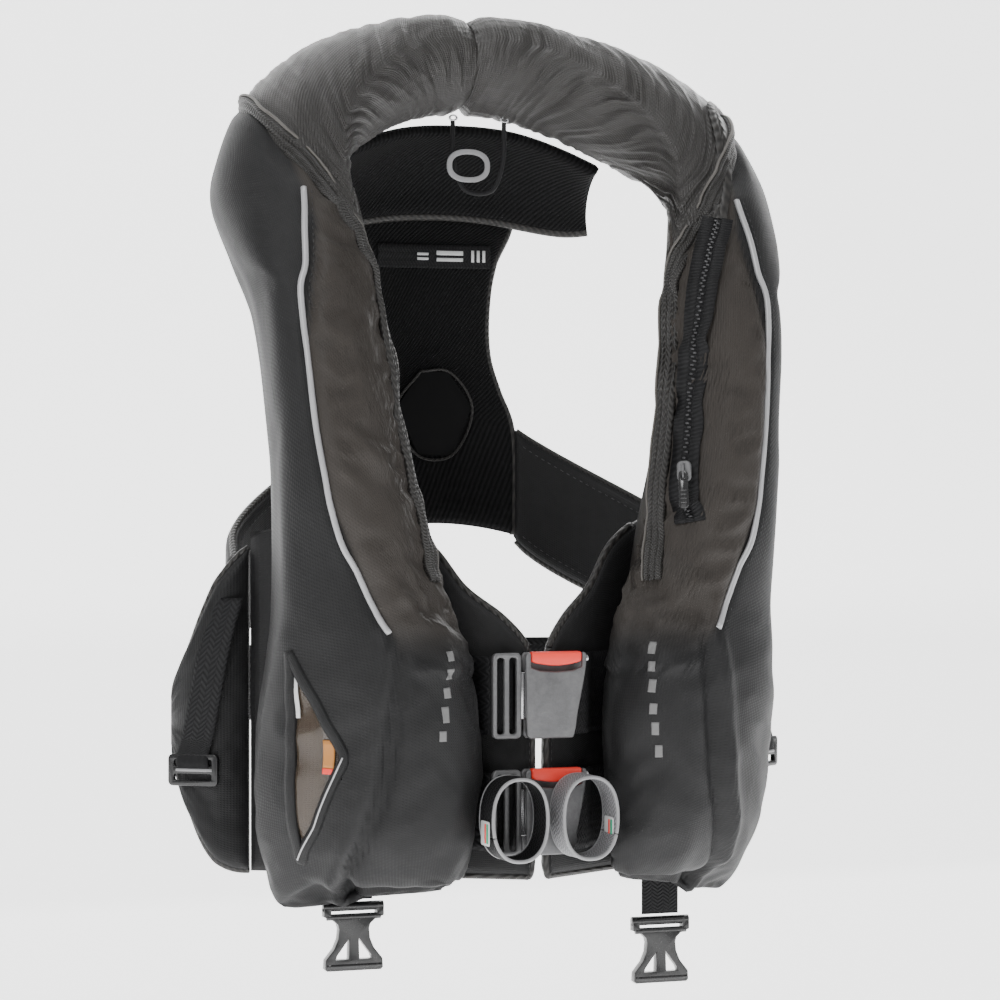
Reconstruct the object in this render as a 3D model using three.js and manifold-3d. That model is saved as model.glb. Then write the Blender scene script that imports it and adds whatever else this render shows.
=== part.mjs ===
// Inflatable life jacket, closed at the front as it is worn.
// Millimetres, +Z up, the wearer faces -Y, so the wearer's left is +X.
// The origin is the middle of the neck opening, level with the wearer's shoulders.
import * as THREE from 'three';
import { mergeVertices } from 'three/addons/utils/BufferGeometryUtils.js';
import Module from 'manifold-3d';

const wasm = await Module();
wasm.setup();

// ---- Driving sizes -------------------------------------------------------------------------
const gap = 0.3;             // left between pieces that touch
const lobeSpan = 248;        // between the two lobes' centre lines at the chest
const lobeDrop = 438;        // shoulder level down to the lobes' hem
const collarRise = 88;       // shoulder level up to the collar's centre line
const napeDepth = 97;        // origin back to the collar's centre line
const backDepth = 163;       // origin back to the back panel
const closureGap = 9;        // between the two closing edges
const coverWall = 2.5;       // padded cover fabric
const packClearance = 0.9;   // between the covers and the folded bladder
const coverSeam = 12;        // degrees that the front cover wraps behind a lobe's edges
const vestWall = 8;          // padded inner vest panels
const backWall = 9;          // padded back panel
const beltDrop = lobeDrop - 123;  // shoulder level down to the upper belt's middle
const beltPitch = 72;        // upper belt down to the lower belt
const beltWidth = 50;        // belt webbing
const webbing = 2;           // thickness of all webbing
const crotchWidth = 25;      // crotch-strap webbing
const loopWide = 37;         // a tether loop's height and width outside
const loopTall = 52;
const loopWebbing = 25;      // tether-loop webbing
const cylinderRadius = 15;   // gas cylinder
const cylinderLength = 98;

// ---- Small helpers ---------------------------------------------------------------------------
const v3 = (x, y, z) => new THREE.Vector3(x, y, z);
const rad = THREE.MathUtils.degToRad;
const lerp = THREE.MathUtils.lerp;

function steps(n) {
  return Array.from({ length: n + 1 }, (_, i) => i / n);
}

// A closed sheet of fabric: its middle surface is middle(u, v), and thick(u, v) is its thickness there.
function sheet(middle, uSteps, vSteps, thick) {
  const thickness = typeof thick === 'number' ? () => thick : thick;
  const d = 1e-3;
  const sides = [[], []];
  for (const u of steps(uSteps)) {
    for (const v of steps(vSteps)) {
      const p = middle(u, v);
      const alongU = middle(Math.min(u + d, 1), v).sub(middle(Math.max(u - d, 0), v));
      const alongV = middle(u, Math.min(v + d, 1)).sub(middle(u, Math.max(v - d, 0)));
      const normal = alongU.cross(alongV).normalize().multiplyScalar(thickness(u, v) / 2);
      sides[0].push(p.clone().add(normal));
      sides[1].push(p.clone().sub(normal));
    }
  }
  const row = vSteps + 1;
  const layer = sides[0].length;
  const top = (i, j) => i * row + j;
  const under = (i, j) => layer + i * row + j;
  const index = [];
  const quad = (a, b, c, e) => index.push(a, b, c, a, c, e);
  for (let i = 0; i < uSteps; i++) {
    for (let j = 0; j < vSteps; j++) {
      quad(top(i, j), top(i + 1, j), top(i + 1, j + 1), top(i, j + 1));
      quad(under(i, j), under(i, j + 1), under(i + 1, j + 1), under(i + 1, j));
    }
    quad(top(i, 0), under(i, 0), under(i + 1, 0), top(i + 1, 0));
    quad(top(i, vSteps), top(i + 1, vSteps), under(i + 1, vSteps), under(i, vSteps));
  }
  for (let j = 0; j < vSteps; j++) {
    quad(top(0, j), top(0, j + 1), under(0, j + 1), under(0, j));
    quad(top(uSteps, j), under(uSteps, j), under(uSteps, j + 1), top(uSteps, j + 1));
  }
  return closed([...sides[0], ...sides[1]], index);
}

// A closed solid through rings of points, with flat ends.
function loft(rings) {
  const points = rings.flat();
  const n = rings[0].length;
  const index = [];
  for (let i = 0; i + 1 < rings.length; i++) {
    for (let j = 0; j < n; j++) {
      const a = i * n + j;
      const b = i * n + ((j + 1) % n);
      index.push(a, b, b + n, a, b + n, a + n);
    }
  }
  for (const [ring, turned] of [[0, true], [rings.length - 1, false]]) {
    const middle = points.length;
    points.push(rings[ring].reduce((s, p) => s.add(p), v3(0, 0, 0)).divideScalar(n));
    for (let j = 0; j < n; j++) {
      const a = ring * n + j;
      const b = ring * n + ((j + 1) % n);
      index.push(...(turned ? [middle, b, a] : [middle, a, b]));
    }
  }
  return closed(points, index);
}

function closed(points, index) {
  const geometry = new THREE.BufferGeometry().setFromPoints(points).setIndex(index);
  const solid = solidOf(geometry);
  if (solid.volume() < 0) {
    for (let i = 0; i < index.length; i += 3) {
      [index[i + 1], index[i + 2]] = [index[i + 2], index[i + 1]];
    }
    geometry.setIndex(index);
  }
  return geometry;
}

function solidOf(geometry) {
  const bare = geometry.clone();
  bare.deleteAttribute('normal');
  bare.deleteAttribute('uv');
  const merged = mergeVertices(bare, 1e-3);
  return new wasm.Manifold(new wasm.Mesh({
    numProp: 3,
    vertProperties: merged.attributes.position.array,
    triVerts: new Uint32Array(merged.index.array),
  }));
}

function geometryOf(solid) {
  const mesh = solid.getMesh();
  const points = [];
  for (let i = 0; i < mesh.numVert; i++) {
    points.push(v3(...mesh.vertProperties.subarray(i * mesh.numProp, i * mesh.numProp + 3)));
  }
  return new THREE.BufferGeometry().setFromPoints(points).setIndex([...mesh.triVerts]);
}

const minus = (a, ...cuts) => geometryOf(cuts.reduce((s, c) => s.subtract(solidOf(c)), solidOf(a)));
const plus = (a, ...more) => geometryOf(more.reduce((s, c) => s.add(solidOf(c)), solidOf(a)));
const common = (a, b) => geometryOf(solidOf(a).intersect(solidOf(b)));

// A box between two corners.
function box(low, high) {
  const size = v3(...high).sub(v3(...low));
  const middle = v3(...high).add(v3(...low)).multiplyScalar(0.5);
  return new THREE.BoxGeometry(size.x, size.y, size.z).translate(middle.x, middle.y, middle.z);
}

// A round bar from one point to another.
function bar(from, to, radius, sides = 16, endRadius = radius) {
  const way = to.clone().sub(from);
  const turn = new THREE.Quaternion().setFromUnitVectors(v3(0, 1, 0), way.clone().normalize());
  return new THREE.CylinderGeometry(endRadius, radius, way.length(), sides)
    .applyQuaternion(turn).translate(...from.clone().add(to).multiplyScalar(0.5));
}

// Extrudes a flat outline by depth along "out", centred on "at": outline x runs along "right", y along "up".
function plate(shape, depth, at, right, up) {
  const out = right.clone().cross(up);
  const place = new THREE.Matrix4().makeBasis(right, up, out).setPosition(at);
  return new THREE.ExtrudeGeometry(shape, { depth, bevelEnabled: false, curveSegments: 5 })
    .translate(0, 0, -depth / 2).applyMatrix4(place);
}

function roundedBox(width, height, corner, Kind = THREE.Shape) {
  const [x, y] = [width / 2, height / 2];
  return new Kind()
    .moveTo(-x + corner, -y).lineTo(x - corner, -y).quadraticCurveTo(x, -y, x, -y + corner)
    .lineTo(x, y - corner).quadraticCurveTo(x, y, x - corner, y)
    .lineTo(-x + corner, y).quadraticCurveTo(-x, y, -x, y - corner)
    .lineTo(-x, -y + corner).quadraticCurveTo(-x, -y, -x + corner, -y);
}

// A flat band of webbing along a curve: "across" gives the direction of its width.
function band(points, across, width, thick = webbing, count = points.length * 2) {
  const curve = new THREE.CatmullRomCurve3(points);
  const half = across.clone().normalize().multiplyScalar(width / 2);
  const middle = (u, v) => curve.getPoint(u).addScaledVector(half, 2 * v - 1);
  return sheet(middle, count, 1, thick);
}

// ---- The horseshoe: lobe, shoulder, collar, shoulder, lobe -----------------------------------
// Each station of one side: centre line, the way out from the wearer, and the half-sizes of its section:
// "half" from its middle to the outer and inner edges, "front" and "rear" away from the wearer and towards.
const half = lobeSpan / 2;
const chestY = -16;
const stations = [
  { at: [0, napeDepth, collarRise], out: [0, 0.5, 0.87], half: 38, front: 34, rear: 30 },
  { at: [48, napeDepth - 6, collarRise - 5], out: [0.15, 0.45, 0.87], half: 39, front: 34, rear: 30 },
  { at: [half - 33, napeDepth - 25, collarRise - 25], out: [0.45, 0.2, 0.87], half: 43, front: 41, rear: 30 },
  { at: [half + 1, napeDepth - 45, collarRise - 54], out: [0.7, -0.15, 0.7], half: 47, front: 44, rear: 29 },
  { at: [half + 19, 32, 0], out: [0.72, -0.55, 0.42], half: 48, front: 40, rear: 28 },
  { at: [half + 17, 12, -35], out: [0.6, -0.75, 0.2], half: 47, front: 44, rear: 27 },
  { at: [half + 11, -3, -0.17 * lobeDrop], out: [0.5, -0.86, 0.05], half: 45, front: 47, rear: 27 },
  { at: [half, chestY, -0.37 * lobeDrop], out: [0.5, -0.866, 0], half: 48, front: 50, rear: 27 },
  { at: [half - 12, chestY - 2, -0.58 * lobeDrop], out: [0.5, -0.866, 0], half: 60, front: 51, rear: 27 },
  { at: [half - 19, chestY - 4, -0.74 * lobeDrop], out: [0.5, -0.866, 0], half: 75, front: 50, rear: 26 },
  { at: [half - 18, chestY - 1, -0.89 * lobeDrop], out: [0.5, -0.866, 0], half: 73, front: 42, rear: 22 },
  { at: [half - 20, chestY + 4, -0.97 * lobeDrop], out: [0.5, -0.866, 0], half: 64, front: 25, rear: 12 },
  { at: [half - 23, chestY + 6, -lobeDrop], out: [0.5, -0.866, 0], half: 55, front: 7, rear: 5 },
];
const last = stations.length - 1;
const bothSides = [
  ...stations.slice(1).reverse().map((s) => ({
    ...s, at: [-s.at[0], s.at[1], s.at[2]], out: [-s.out[0], s.out[1], s.out[2]],
  })),
  ...stations,
];
const spine = new THREE.CatmullRomCurve3(bothSides.map((s) => v3(...s.at)));
const outward = new THREE.CatmullRomCurve3(bothSides.map((s) => v3(...s.out)));
const halves = new THREE.CatmullRomCurve3(bothSides.map((s) => v3(s.half, s.front, s.rear)));

// The frame at station k, from -last at the right lobe's hem, 0 at the nape, to last at the left lobe's hem.
function frameAt(k) {
  const t = (k + last) / (2 * last);
  const tangent = spine.getTangent(t);
  const across = outward.getPoint(t).cross(tangent).normalize();
  const size = halves.getPoint(t);
  return {
    centre: spine.getPoint(t), across, out: tangent.clone().cross(across), tangent,
    half: size.x, front: size.y, rear: size.z,
  };
}

// A point of the horseshoe's skin: angle 0 is the outer edge, 90 the front, 180 the inner edge.
// "lift" moves it off the skin.
function skin(k, angle, lift = 0) {
  const f = frameAt(k);
  const a = rad(angle);
  const deep = Math.sin(a) > 0 ? f.front : f.rear;
  return f.centre.clone()
    .addScaledVector(f.across, (f.half + lift) * Math.cos(a))
    .addScaledVector(f.out, (deep + lift) * Math.sin(a));
}

// The station whose centre line is at height z, on side -1 (wearer's right) or 1 (wearer's left).
function stationAt(side, z) {
  let [high, low] = [3, last];
  for (let i = 0; i < 30; i++) {
    const middle = (high + low) / 2;
    if (frameAt(middle).centre.z > z) high = middle;
    else low = middle;
  }
  return side * high;
}

// A point inside a lobe at height z, "across" towards its outer edge and "out" towards its front.
function within(side, z, across, out) {
  const f = frameAt(stationAt(side, z));
  return f.centre.clone().addScaledVector(f.across, across).addScaledVector(f.out, out);
}

// A sheet on the skin between two stations and two angles, from "low" to "high" above the skin.
function skinSheet(k0, k1, a0, a1, low, high, uSteps, vSteps) {
  const middle = (u, v) => skin(lerp(k0, k1, u), lerp(a0, a1, v), (low + high) / 2);
  return sheet(middle, uSteps, vSteps, high - low);
}

const far = 900;
const aboveShoulders = box([-far, -far, -gap / 2], [far, far, far]);
const belowShoulders = box([-far, -far, -far], [far, far, gap / 2]);

const colours = {
  matteFabric: [0x1b1b1c, 0.85, 0], satinFabric: [0x3a3634, 0.55, 0], mesh: [0x141415, 0.95, 0],
  webbing: [0x18181a, 0.8, 0], greyWebbing: [0x7d7d80, 0.8, 0], steel: [0x77787a, 0.35, 1],
  blackPlastic: [0x101011, 0.4, 0], red: [0xe8352b, 0.45, 0], clear: [0x9a948c, 0.15, 0],
  bladder: [0xf0c020, 0.6, 0], orange: [0xd08030, 0.5, 0], piping: [0xb9b9ba, 0.4, 0],
};
const jacket = new THREE.Group();

function add(name, geometry, colour) {
  const [color, roughness, metalness] = colours[colour];
  const mesh = new THREE.Mesh(geometry, new THREE.MeshStandardMaterial({ color, roughness, metalness }));
  mesh.name = name;
  jacket.add(mesh);
}

// ---- Collar -----------------------------------------------------------------------------------
const seamLow = -coverSeam;
const seamHigh = 180 + coverSeam;
const seamSlit = 2.2;        // degrees between the front and rear covers
const shoulderEnd = 5.4;     // a station safely past shoulder level, trimmed there
const napeSlit = 0.012;      // stations from the nape to each cover's end

const collarSteps = 9;       // stations modelled on each side of the collar
const frontSteps = 10;       // facets round the front cover and round the rear one
const rearSteps = 5;

for (const [name, side] of [['right', -1], ['left', 1]]) {
  const wall = skinSheet(side * shoulderEnd, side * napeSlit, seamLow, seamHigh, -coverWall, 0,
    collarSteps, frontSteps);
  add(`${name}_collar_cover`, minus(wall, belowShoulders), 'satinFabric');
}
add('collar_lining', minus(skinSheet(-shoulderEnd, shoulderEnd, seamHigh + seamSlit, 360 + seamLow - seamSlit,
  -coverWall, 0, 2 * collarSteps, rearSteps), belowShoulders), 'mesh');

// The folded bladder fills the covers, and its facets lie parallel to theirs. Where "bay" is 1 it is
// only flatFront deep in front of the lobe's centre line, which leaves a bay for the fittings.
const flatFront = 2;
const packAngles = [
  ...steps(frontSteps).map((v) => lerp(seamLow, seamHigh, v)),
  ...steps(rearSteps).map((v) => lerp(seamHigh + seamSlit, 360 + seamLow - seamSlit, v)),
];
function bladderRing(k, bay) {
  const f = frameAt(k);
  const shrink = coverWall + packClearance;
  return packAngles.map((angle) => {
    const a = rad(angle);
    const deep = Math.sin(a) > 0 ? lerp(f.front - shrink, flatFront, bay) : f.rear - shrink;
    return f.centre.clone()
      .addScaledVector(f.across, (f.half - shrink) * Math.cos(a))
      .addScaledVector(f.out, deep * Math.sin(a));
  });
}
add('collar_bladder', minus(
  loft(steps(2 * collarSteps).map((u) => bladderRing(lerp(-shoulderEnd, shoulderEnd, u), 0))),
  belowShoulders), 'bladder');

// ---- Lobes --------------------------------------------------------------------------------------
// The lobes' lower half holds the inflator (right) or the oral tube (left) in front of the bladder.
const lobeStart = 2.6;       // a station safely above shoulder level, trimmed there
const lobeSteps = 15;
const bayTop = 6.4;          // the bay opens out over one station from here
const inflatorAt = { drop: lobeDrop - 170, across: 14, out: 22 };
const tubeAt = { drop: lobeDrop - 120, across: 10, out: 20 };
const socketDepth = 5;       // how far a fitting goes into the bladder
const stemRadius = 9;
const tubeRadius = 8;
const windowAt = {           // the three corners, from the top
  angles: [57, 88, 55], drops: [lobeDrop - 157, lobeDrop - 89, lobeDrop - 28],
};
const bindingWidth = 5;      // of the binding round the window

// The way that a fitting goes into a bladder, as a bar of the given radius.
function stem(side, at, radius, extra) {
  const from = within(side, -at.drop, at.across, at.out);
  return bar(from, within(side, -at.drop, at.across, flatFront - socketDepth - extra), radius, 16);
}

// A prism over the window's triangle, grown by "grow".
function windowPrism(grow) {
  const corners = windowAt.angles.map((a, i) => skin(stationAt(-1, -windowAt.drops[i]), a));
  const middle = corners[0].clone().add(corners[1]).add(corners[2]).divideScalar(3);
  const up = corners[0].clone().sub(corners[2]).normalize();
  const out = corners[1].clone().sub(corners[2]).cross(up).normalize();
  const right = up.clone().cross(out);
  const flat = corners.map((c) => {
    const d = c.clone().sub(middle);
    return new THREE.Vector2(d.dot(right), d.dot(up));
  });
  const grown = flat.map((p) => p.clone().addScaledVector(p.clone().normalize(), 2.2 * grow));
  return plate(new THREE.Shape(grown), 60, middle, right, up);
}

const fittings = { right: [inflatorAt, stemRadius], left: [tubeAt, tubeRadius] };
for (const [name, side] of [['right', -1], ['left', 1]]) {
  const ends = [side * lobeStart, side * last];
  const front = skinSheet(...ends, seamLow, seamHigh, -coverWall, 0, lobeSteps, frontSteps);
  const opening = side < 0 ? [windowPrism(0)] : [];
  add(`${name}_lobe_front_cover`, minus(front, aboveShoulders, ...opening), 'matteFabric');
  const rear = skinSheet(...ends, seamHigh + seamSlit, 360 + seamLow - seamSlit, -coverWall, 0,
    lobeSteps, rearSteps);
  add(`${name}_lobe_back_cover`, minus(rear, aboveShoulders), 'matteFabric');
  const rings = steps(lobeSteps).slice(0, -3).map((u) => {
    const k = lerp(lobeStart, last, u);
    return bladderRing(side * k, THREE.MathUtils.smoothstep(k, bayTop, bayTop + 1));
  });
  const [at, radius] = fittings[name];
  const socket = stem(side, at, radius + gap, gap);
  add(`${name}_lobe_bladder`, minus(loft(rings), aboveShoulders, socket), 'bladder');
}

// The window's pane is sewn behind the cover, and its binding lies on the cover.
function overWindow(low, high, ...prisms) {
  const slab = skinSheet(-lobeStart, -last, seamLow, seamHigh, low, high, lobeSteps, frontSteps);
  return prisms.length > 1 ? minus(common(slab, prisms[0]), prisms[1]) : common(slab, prisms[0]);
}
add('inflator_window', overWindow(-coverWall - 1.5 - gap, -coverWall - 1.5 * gap, windowPrism(3)), 'clear');
add('window_binding', overWindow(0.8, 2.2, windowPrism(bindingWidth), windowPrism(0)), 'blackPlastic');

// ---- Inflator, gas cylinder and firing lever, in the right lobe's bay ---------------------------
const inflatorRadius = 17;
const inflatorHeight = 34;
const neckLength = 8;
const inBay = (z) => within(-1, z, inflatorAt.across, inflatorAt.out);
const inflatorTop = inBay(-inflatorAt.drop + inflatorHeight / 2);
const inflatorBottom = inBay(-inflatorAt.drop - inflatorHeight / 2);
const bayAxis = inflatorBottom.clone().sub(inflatorTop).normalize();
const alongBay = (from, distance) => from.clone().addScaledVector(bayAxis, distance);
add('inflator_body', plus(bar(inflatorBottom, inflatorTop, inflatorRadius, 20),
  stem(-1, inflatorAt, stemRadius, 0)), 'blackPlastic');
add('water_sensor_cap', bar(alongBay(inflatorTop, -gap), alongBay(inflatorTop, -12), 15, 20, 12), 'orange');
const cylinderTop = alongBay(inflatorBottom, gap + neckLength);
const cylinderEnd = alongBay(cylinderTop, cylinderLength - cylinderRadius);
add('gas_cylinder', plus(
  bar(cylinderTop, cylinderEnd, cylinderRadius, 20),
  bar(alongBay(inflatorBottom, gap), alongBay(cylinderTop, 1), 7, 16),
  bar(alongBay(cylinderEnd, -1), alongBay(cylinderEnd, 6), cylinderRadius, 20, 8)), 'steel');

// The lever turns on a pin that points out of the lobe, beside the inflator.
const leverLength = 26;
const leverWidth = 11;
const leverThickness = 5;
const leverFrame = frameAt(stationAt(-1, -inflatorAt.drop));
const leverAcross = inflatorAt.across - inflatorRadius - gap - leverWidth / 2;
const leverPin = within(-1, -inflatorAt.drop, leverAcross, inflatorAt.out);
const leverShape = new THREE.Shape()
  .moveTo(-leverWidth / 2, 0).lineTo(-leverWidth / 2, -leverLength).lineTo(leverWidth / 2, -leverLength)
  .lineTo(leverWidth / 2, 0).absarc(0, 0, leverWidth / 2, 0, Math.PI);
const leverUp = bayAxis.clone().negate();
const leverRight = leverUp.clone().cross(leverFrame.out).normalize();
add('firing_lever', plate(leverShape, leverThickness, leverPin, leverRight, leverUp), 'blackPlastic');
add('pull_toggle',
  bar(alongBay(leverPin, leverLength + gap), alongBay(leverPin, leverLength + 22), 5, 12), 'red');

// ---- Oral tube and whistle, in the left lobe's bay ----------------------------------------------
const tubeRise = 42;
const inTube = (rise, out) => within(1, rise - tubeAt.drop, tubeAt.across, out);
const tubePath = new THREE.CatmullRomCurve3([
  inTube(0, flatFront - socketDepth), inTube(0, 3), inTube(0, 9),
  inTube(12, tubeAt.out), inTube(tubeRise, tubeAt.out),
]);
const tubeSection = new THREE.Shape().absarc(0, 0, tubeRadius, 0, 2 * Math.PI);
add('oral_tube', new THREE.ExtrudeGeometry(tubeSection, {
  extrudePath: tubePath, steps: 14, curveSegments: 6,
}), 'blackPlastic');
const tubeMouth = tubePath.getPoint(1);
const mouthWay = tubePath.getTangent(1);
add('oral_tube_cap', bar(tubeMouth.clone().addScaledVector(mouthWay, gap),
  tubeMouth.clone().addScaledVector(mouthWay, 11), tubeRadius + 1.5, 16), 'red');
const whistleThickness = 9;
const whistleDrop = lobeDrop - 73;
const whistleAt = within(1, -whistleDrop, 0, flatFront + gap + whistleThickness / 2);
const lobeFront = frameAt(stationAt(1, -whistleDrop)).out;
const lobeRight = v3(0, 0, 1).cross(lobeFront).normalize();
const lobeUp = lobeFront.clone().cross(lobeRight);
const whistleVoice = whistleAt.clone().addScaledVector(lobeUp, 10);
add('whistle', minus(plate(roundedBox(16, 44, 3), whistleThickness, whistleAt, lobeRight, lobeUp),
  plate(roundedBox(9, 7, 1), 3 * whistleThickness, whistleVoice, lobeRight, lobeUp)), 'orange');

// ---- Reflective piping and the burst zip --------------------------------------------------------
// Each seam is a list of [drop below the shoulders, angle round the lobe].
const pipingSeam = [[24, 127], [60, 108], [95, 94], [150, 92], [200, 95], [240, 107], [277, 118]];
const zipSeam = [[36, 144], [60, 150], [91, 154], [130, 158], [170, 157], [212, 146]];

function seamCurve(side, seam, lift) {
  return new THREE.CatmullRomCurve3(seam.map(([drop, angle]) => skin(stationAt(side, -drop), angle, lift)));
}
function seamAngle(seam) {
  const curve = new THREE.CatmullRomCurve3(seam.map(([drop, angle]) => v3(drop, angle, 0)));
  return (u) => curve.getPoint(u);
}
const pipingRadius = 2;
const roundSection = new THREE.Shape().absarc(0, 0, pipingRadius, 0, 2 * Math.PI);
for (const [name, side] of [['right', -1], ['left', 1]]) {
  add(`${name}_piping`, new THREE.ExtrudeGeometry(roundSection, {
    extrudePath: seamCurve(side, pipingSeam, pipingRadius + gap + 0.5), steps: 22, curveSegments: 4,
  }), 'piping');
}
const zipWidth = 20;
const zipTape = 1.2;
const zipLift = 1.3;         // the tape clears the cover's facets
const zipAngle = seamAngle(zipSeam);
function zipPoint(u, sideways, lift) {
  const at = zipAngle(u);
  const k = stationAt(1, -at.x);
  const round = THREE.MathUtils.radToDeg(sideways / frameAt(k).half);
  return skin(k, at.y + round, lift);
}
const teethWidth = 5;
const teethHeight = 1.4;
const teethLift = zipLift + zipTape + gap + teethHeight / 2;
add('zip_tape', sheet((u, v) => zipPoint(u, zipWidth * (v - 0.5), zipLift + zipTape / 2), 22, 2, zipTape),
  'webbing');
add('zip_teeth', sheet((u, v) => zipPoint(lerp(0.02, 0.98, u), teethWidth * (v - 0.5), teethLift),
  22, 1, teethHeight), 'steel');
const sliderLift = zipLift + zipTape + gap + teethHeight + 1.1;
const sliderAt = zipPoint(0.86, 0, sliderLift + 2);
const zipWay = zipPoint(0.9, 0, sliderLift + 2).sub(zipPoint(0.72, 0, sliderLift + 2)).normalize();
const zipOut = zipPoint(0.82, 0, 12).sub(zipPoint(0.82, 0, 0)).normalize();
const zipRight = zipWay.clone().negate().cross(zipOut).normalize();
const zipUp = zipOut.clone().cross(zipRight).normalize();
add('zip_slider', plate(roundedBox(9, 13, 2), 4, sliderAt, zipRight, zipUp), 'steel');
const pullAt = sliderAt.clone().addScaledVector(zipOut, 2 + 2 * gap + 1).addScaledVector(zipUp, -12);
add('zip_pull', plate(roundedBox(6, 24, 2), 2, pullAt, zipRight, zipUp), 'blackPlastic');

// ---- Vest panels under the lobes ----------------------------------------------------------------
// The panels lie flat against the widest part of the lobes' backs and reach forward to the closure.
const widest = stations[9];
const panelOut = v3(...widest.out).normalize();
const panelAcross = v3(-panelOut.y, panelOut.x, 0);
const rearFacet = (180 - 2 * (coverSeam + seamSlit)) / rearSteps;
const rearDepth = widest.rear * Math.cos(rad(rearFacet / 2));
const panelRoot = v3(...widest.at).addScaledVector(panelOut, -(rearDepth + gap + vestWall / 2));
const closingEdge = (closureGap / 2 - panelRoot.x) / panelAcross.x;
const sideEdge = 80;
// A point of a vest panel: t runs from the closing edge to the side, z is the height, "out" in front.
function panelPoint(side, t, z, out = 0) {
  const p = panelRoot.clone().addScaledVector(panelAcross, t).addScaledVector(panelOut, out);
  return v3(side * p.x, p.y, z);
}
const panelHem = -(lobeDrop - 10);
const panelTop = new THREE.CatmullRomCurve3([
  [closingEdge, 138], [closingEdge + 4, 154], [closingEdge + 18, 170], [closingEdge + 42, 188],
  [closingEdge + 66, 216], [10, 233], [sideEdge, 223],
].map(([t, rise]) => v3(t, rise - lobeDrop, 0)));
for (const [name, side] of [['right', -1], ['left', 1]]) {
  add(`${name}_vest_panel`, sheet((u, v) => {
    const top = panelTop.getPoint(u);
    const round = 8 * (Math.max(0, 1 - 10 * u) ** 2);
    return panelPoint(side, top.x, lerp(top.y, panelHem + round, v));
  }, 16, 3, vestWall), 'matteFabric');
}

// ---- Front straps, slider frames, buckles and their release tabs ---------------------------------
const strapStart = 60;       // from the middle, behind the lobe's inner edge
const buckleY = panelPoint(1, closingEdge, 0, vestWall / 2 + gap + webbing + 4).y;
const frameInner = 15;       // from the middle to the slider frame's inner edge
const frameOuter = 34;
const frameHeight = beltWidth + 3;
const frameThickness = 4;
const tongueLength = 11;
const tongueThickness = 2;
const tongueHeight = 29;
const tongueRoom = 1.6;      // above and below the tongue, for the swing
const plateLow = -13.5;      // the buckle's edges, measured from the middle
const plateHigh = 27;
const plateThickness = 10;
const tabHeight = 8;
const tabTravel = 3;
const tabWidth = 34;

// A strap lies on its vest panel and turns forward to meet the back of its slider frame or buckle.
function strap(name, side, z, endX, endY) {
  const off = vestWall / 2 + 2 * gap + webbing / 2;
  const onPanel = (x) => panelPoint(side, (x - panelRoot.x) / panelAcross.x, z, off);
  const points = [
    onPanel(strapStart), onPanel((strapStart + endX) / 2 + 4), onPanel(endX + 7), v3(side * endX, endY, z),
  ];
  add(name, band(points, v3(0, 0, 1), beltWidth, webbing, 10), 'webbing');
}
for (const [name, drop] of [['upper', beltDrop], ['lower', beltDrop + beltPitch]]) {
  const z = -drop;
  strap(`${name}_right_strap`, -1, z, frameOuter - 5, buckleY + frameThickness / 2 + 3 * gap);
  strap(`${name}_left_strap`, 1, z, plateHigh - 5, buckleY + plateThickness / 2 + 3 * gap);
  // The slider frame has two slots for the webbing and a tongue towards the buckle.
  const middleX = -(frameInner + frameOuter) / 2;
  const at = v3(middleX, buckleY, z);
  const frameWidth = frameOuter - frameInner;
  const frame = plate(roundedBox(frameWidth, frameHeight, 3), frameThickness, at, v3(1, 0, 0), v3(0, 0, 1));
  const slot = (x) => plate(roundedBox(4.5, beltWidth - 2, 1), 3 * frameThickness,
    v3(middleX + x, buckleY, z), v3(1, 0, 0), v3(0, 0, 1));
  const tongue = box([-frameInner - 1, buckleY - tongueThickness / 2, z - tongueHeight / 2],
    [-frameInner + tongueLength, buckleY + tongueThickness / 2, z + tongueHeight / 2]);
  add(`${name}_slider_frame`, plus(minus(frame, slot(-4.2), slot(3.8)), tongue), 'steel');
  // The buckle takes the tongue in a slot at its side and the release tab in a notch at its top.
  const plateMiddle = v3((plateLow + plateHigh) / 2, buckleY, z);
  const body = plate(roundedBox(plateHigh - plateLow, frameHeight, 4), plateThickness, plateMiddle,
    v3(1, 0, 0), v3(0, 0, 1));
  const mouth = box([plateLow - 1, buckleY - tongueThickness / 2 - tongueRoom, z - tongueHeight / 2 - 1],
    [-frameInner + tongueLength + 2, buckleY + tongueThickness / 2 + tongueRoom, z + tongueHeight / 2 + 1]);
  const top = z + frameHeight / 2;
  const notch = box([-tabWidth / 2 + 7, buckleY - plateThickness / 2 - 1, top - tabHeight - tabTravel - gap],
    [tabWidth / 2 + 7, buckleY + plateThickness / 2 - 2, top + 1]);
  add(`${name}_buckle_plate`, minus(body, mouth, notch), 'steel');
  add(`${name}_release_tab`, plate(roundedBox(tabWidth - 2 * gap - 0.4, tabHeight, 2), plateThickness - 3,
    v3(7, buckleY - 1.5, top - tabHeight / 2 + 0.5), v3(1, 0, 0), v3(0, 0, 1)), 'red');
}

// ---- Tether loops, which hang in front of the lower straps ----------------------------------------
const loopAt = { right: 26, left: 20 };  // from the middle
const loopTop = -(beltDrop + beltPitch) + 24;
const loopBack = buckleY - plateThickness / 2 - gap;
const oval = (wide, tall, Kind) => new Kind().absellipse(0, 0, wide / 2, tall / 2, 0, 2 * Math.PI);
for (const [name, side] of [['right', -1], ['left', 1]]) {
  const ring = oval(loopWide, loopTall, THREE.Shape);
  ring.holes.push(oval(loopWide - 2 * webbing, loopTall - 2 * webbing, THREE.Path));
  const middle = v3(side * loopAt[name], loopBack - loopWebbing / 2, loopTop - loopTall / 2);
  add(`${name}_tether_loop`, plate(ring, loopWebbing, middle, v3(1, 0, 0), v3(0, 0, 1)), 'greyWebbing');
}

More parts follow.
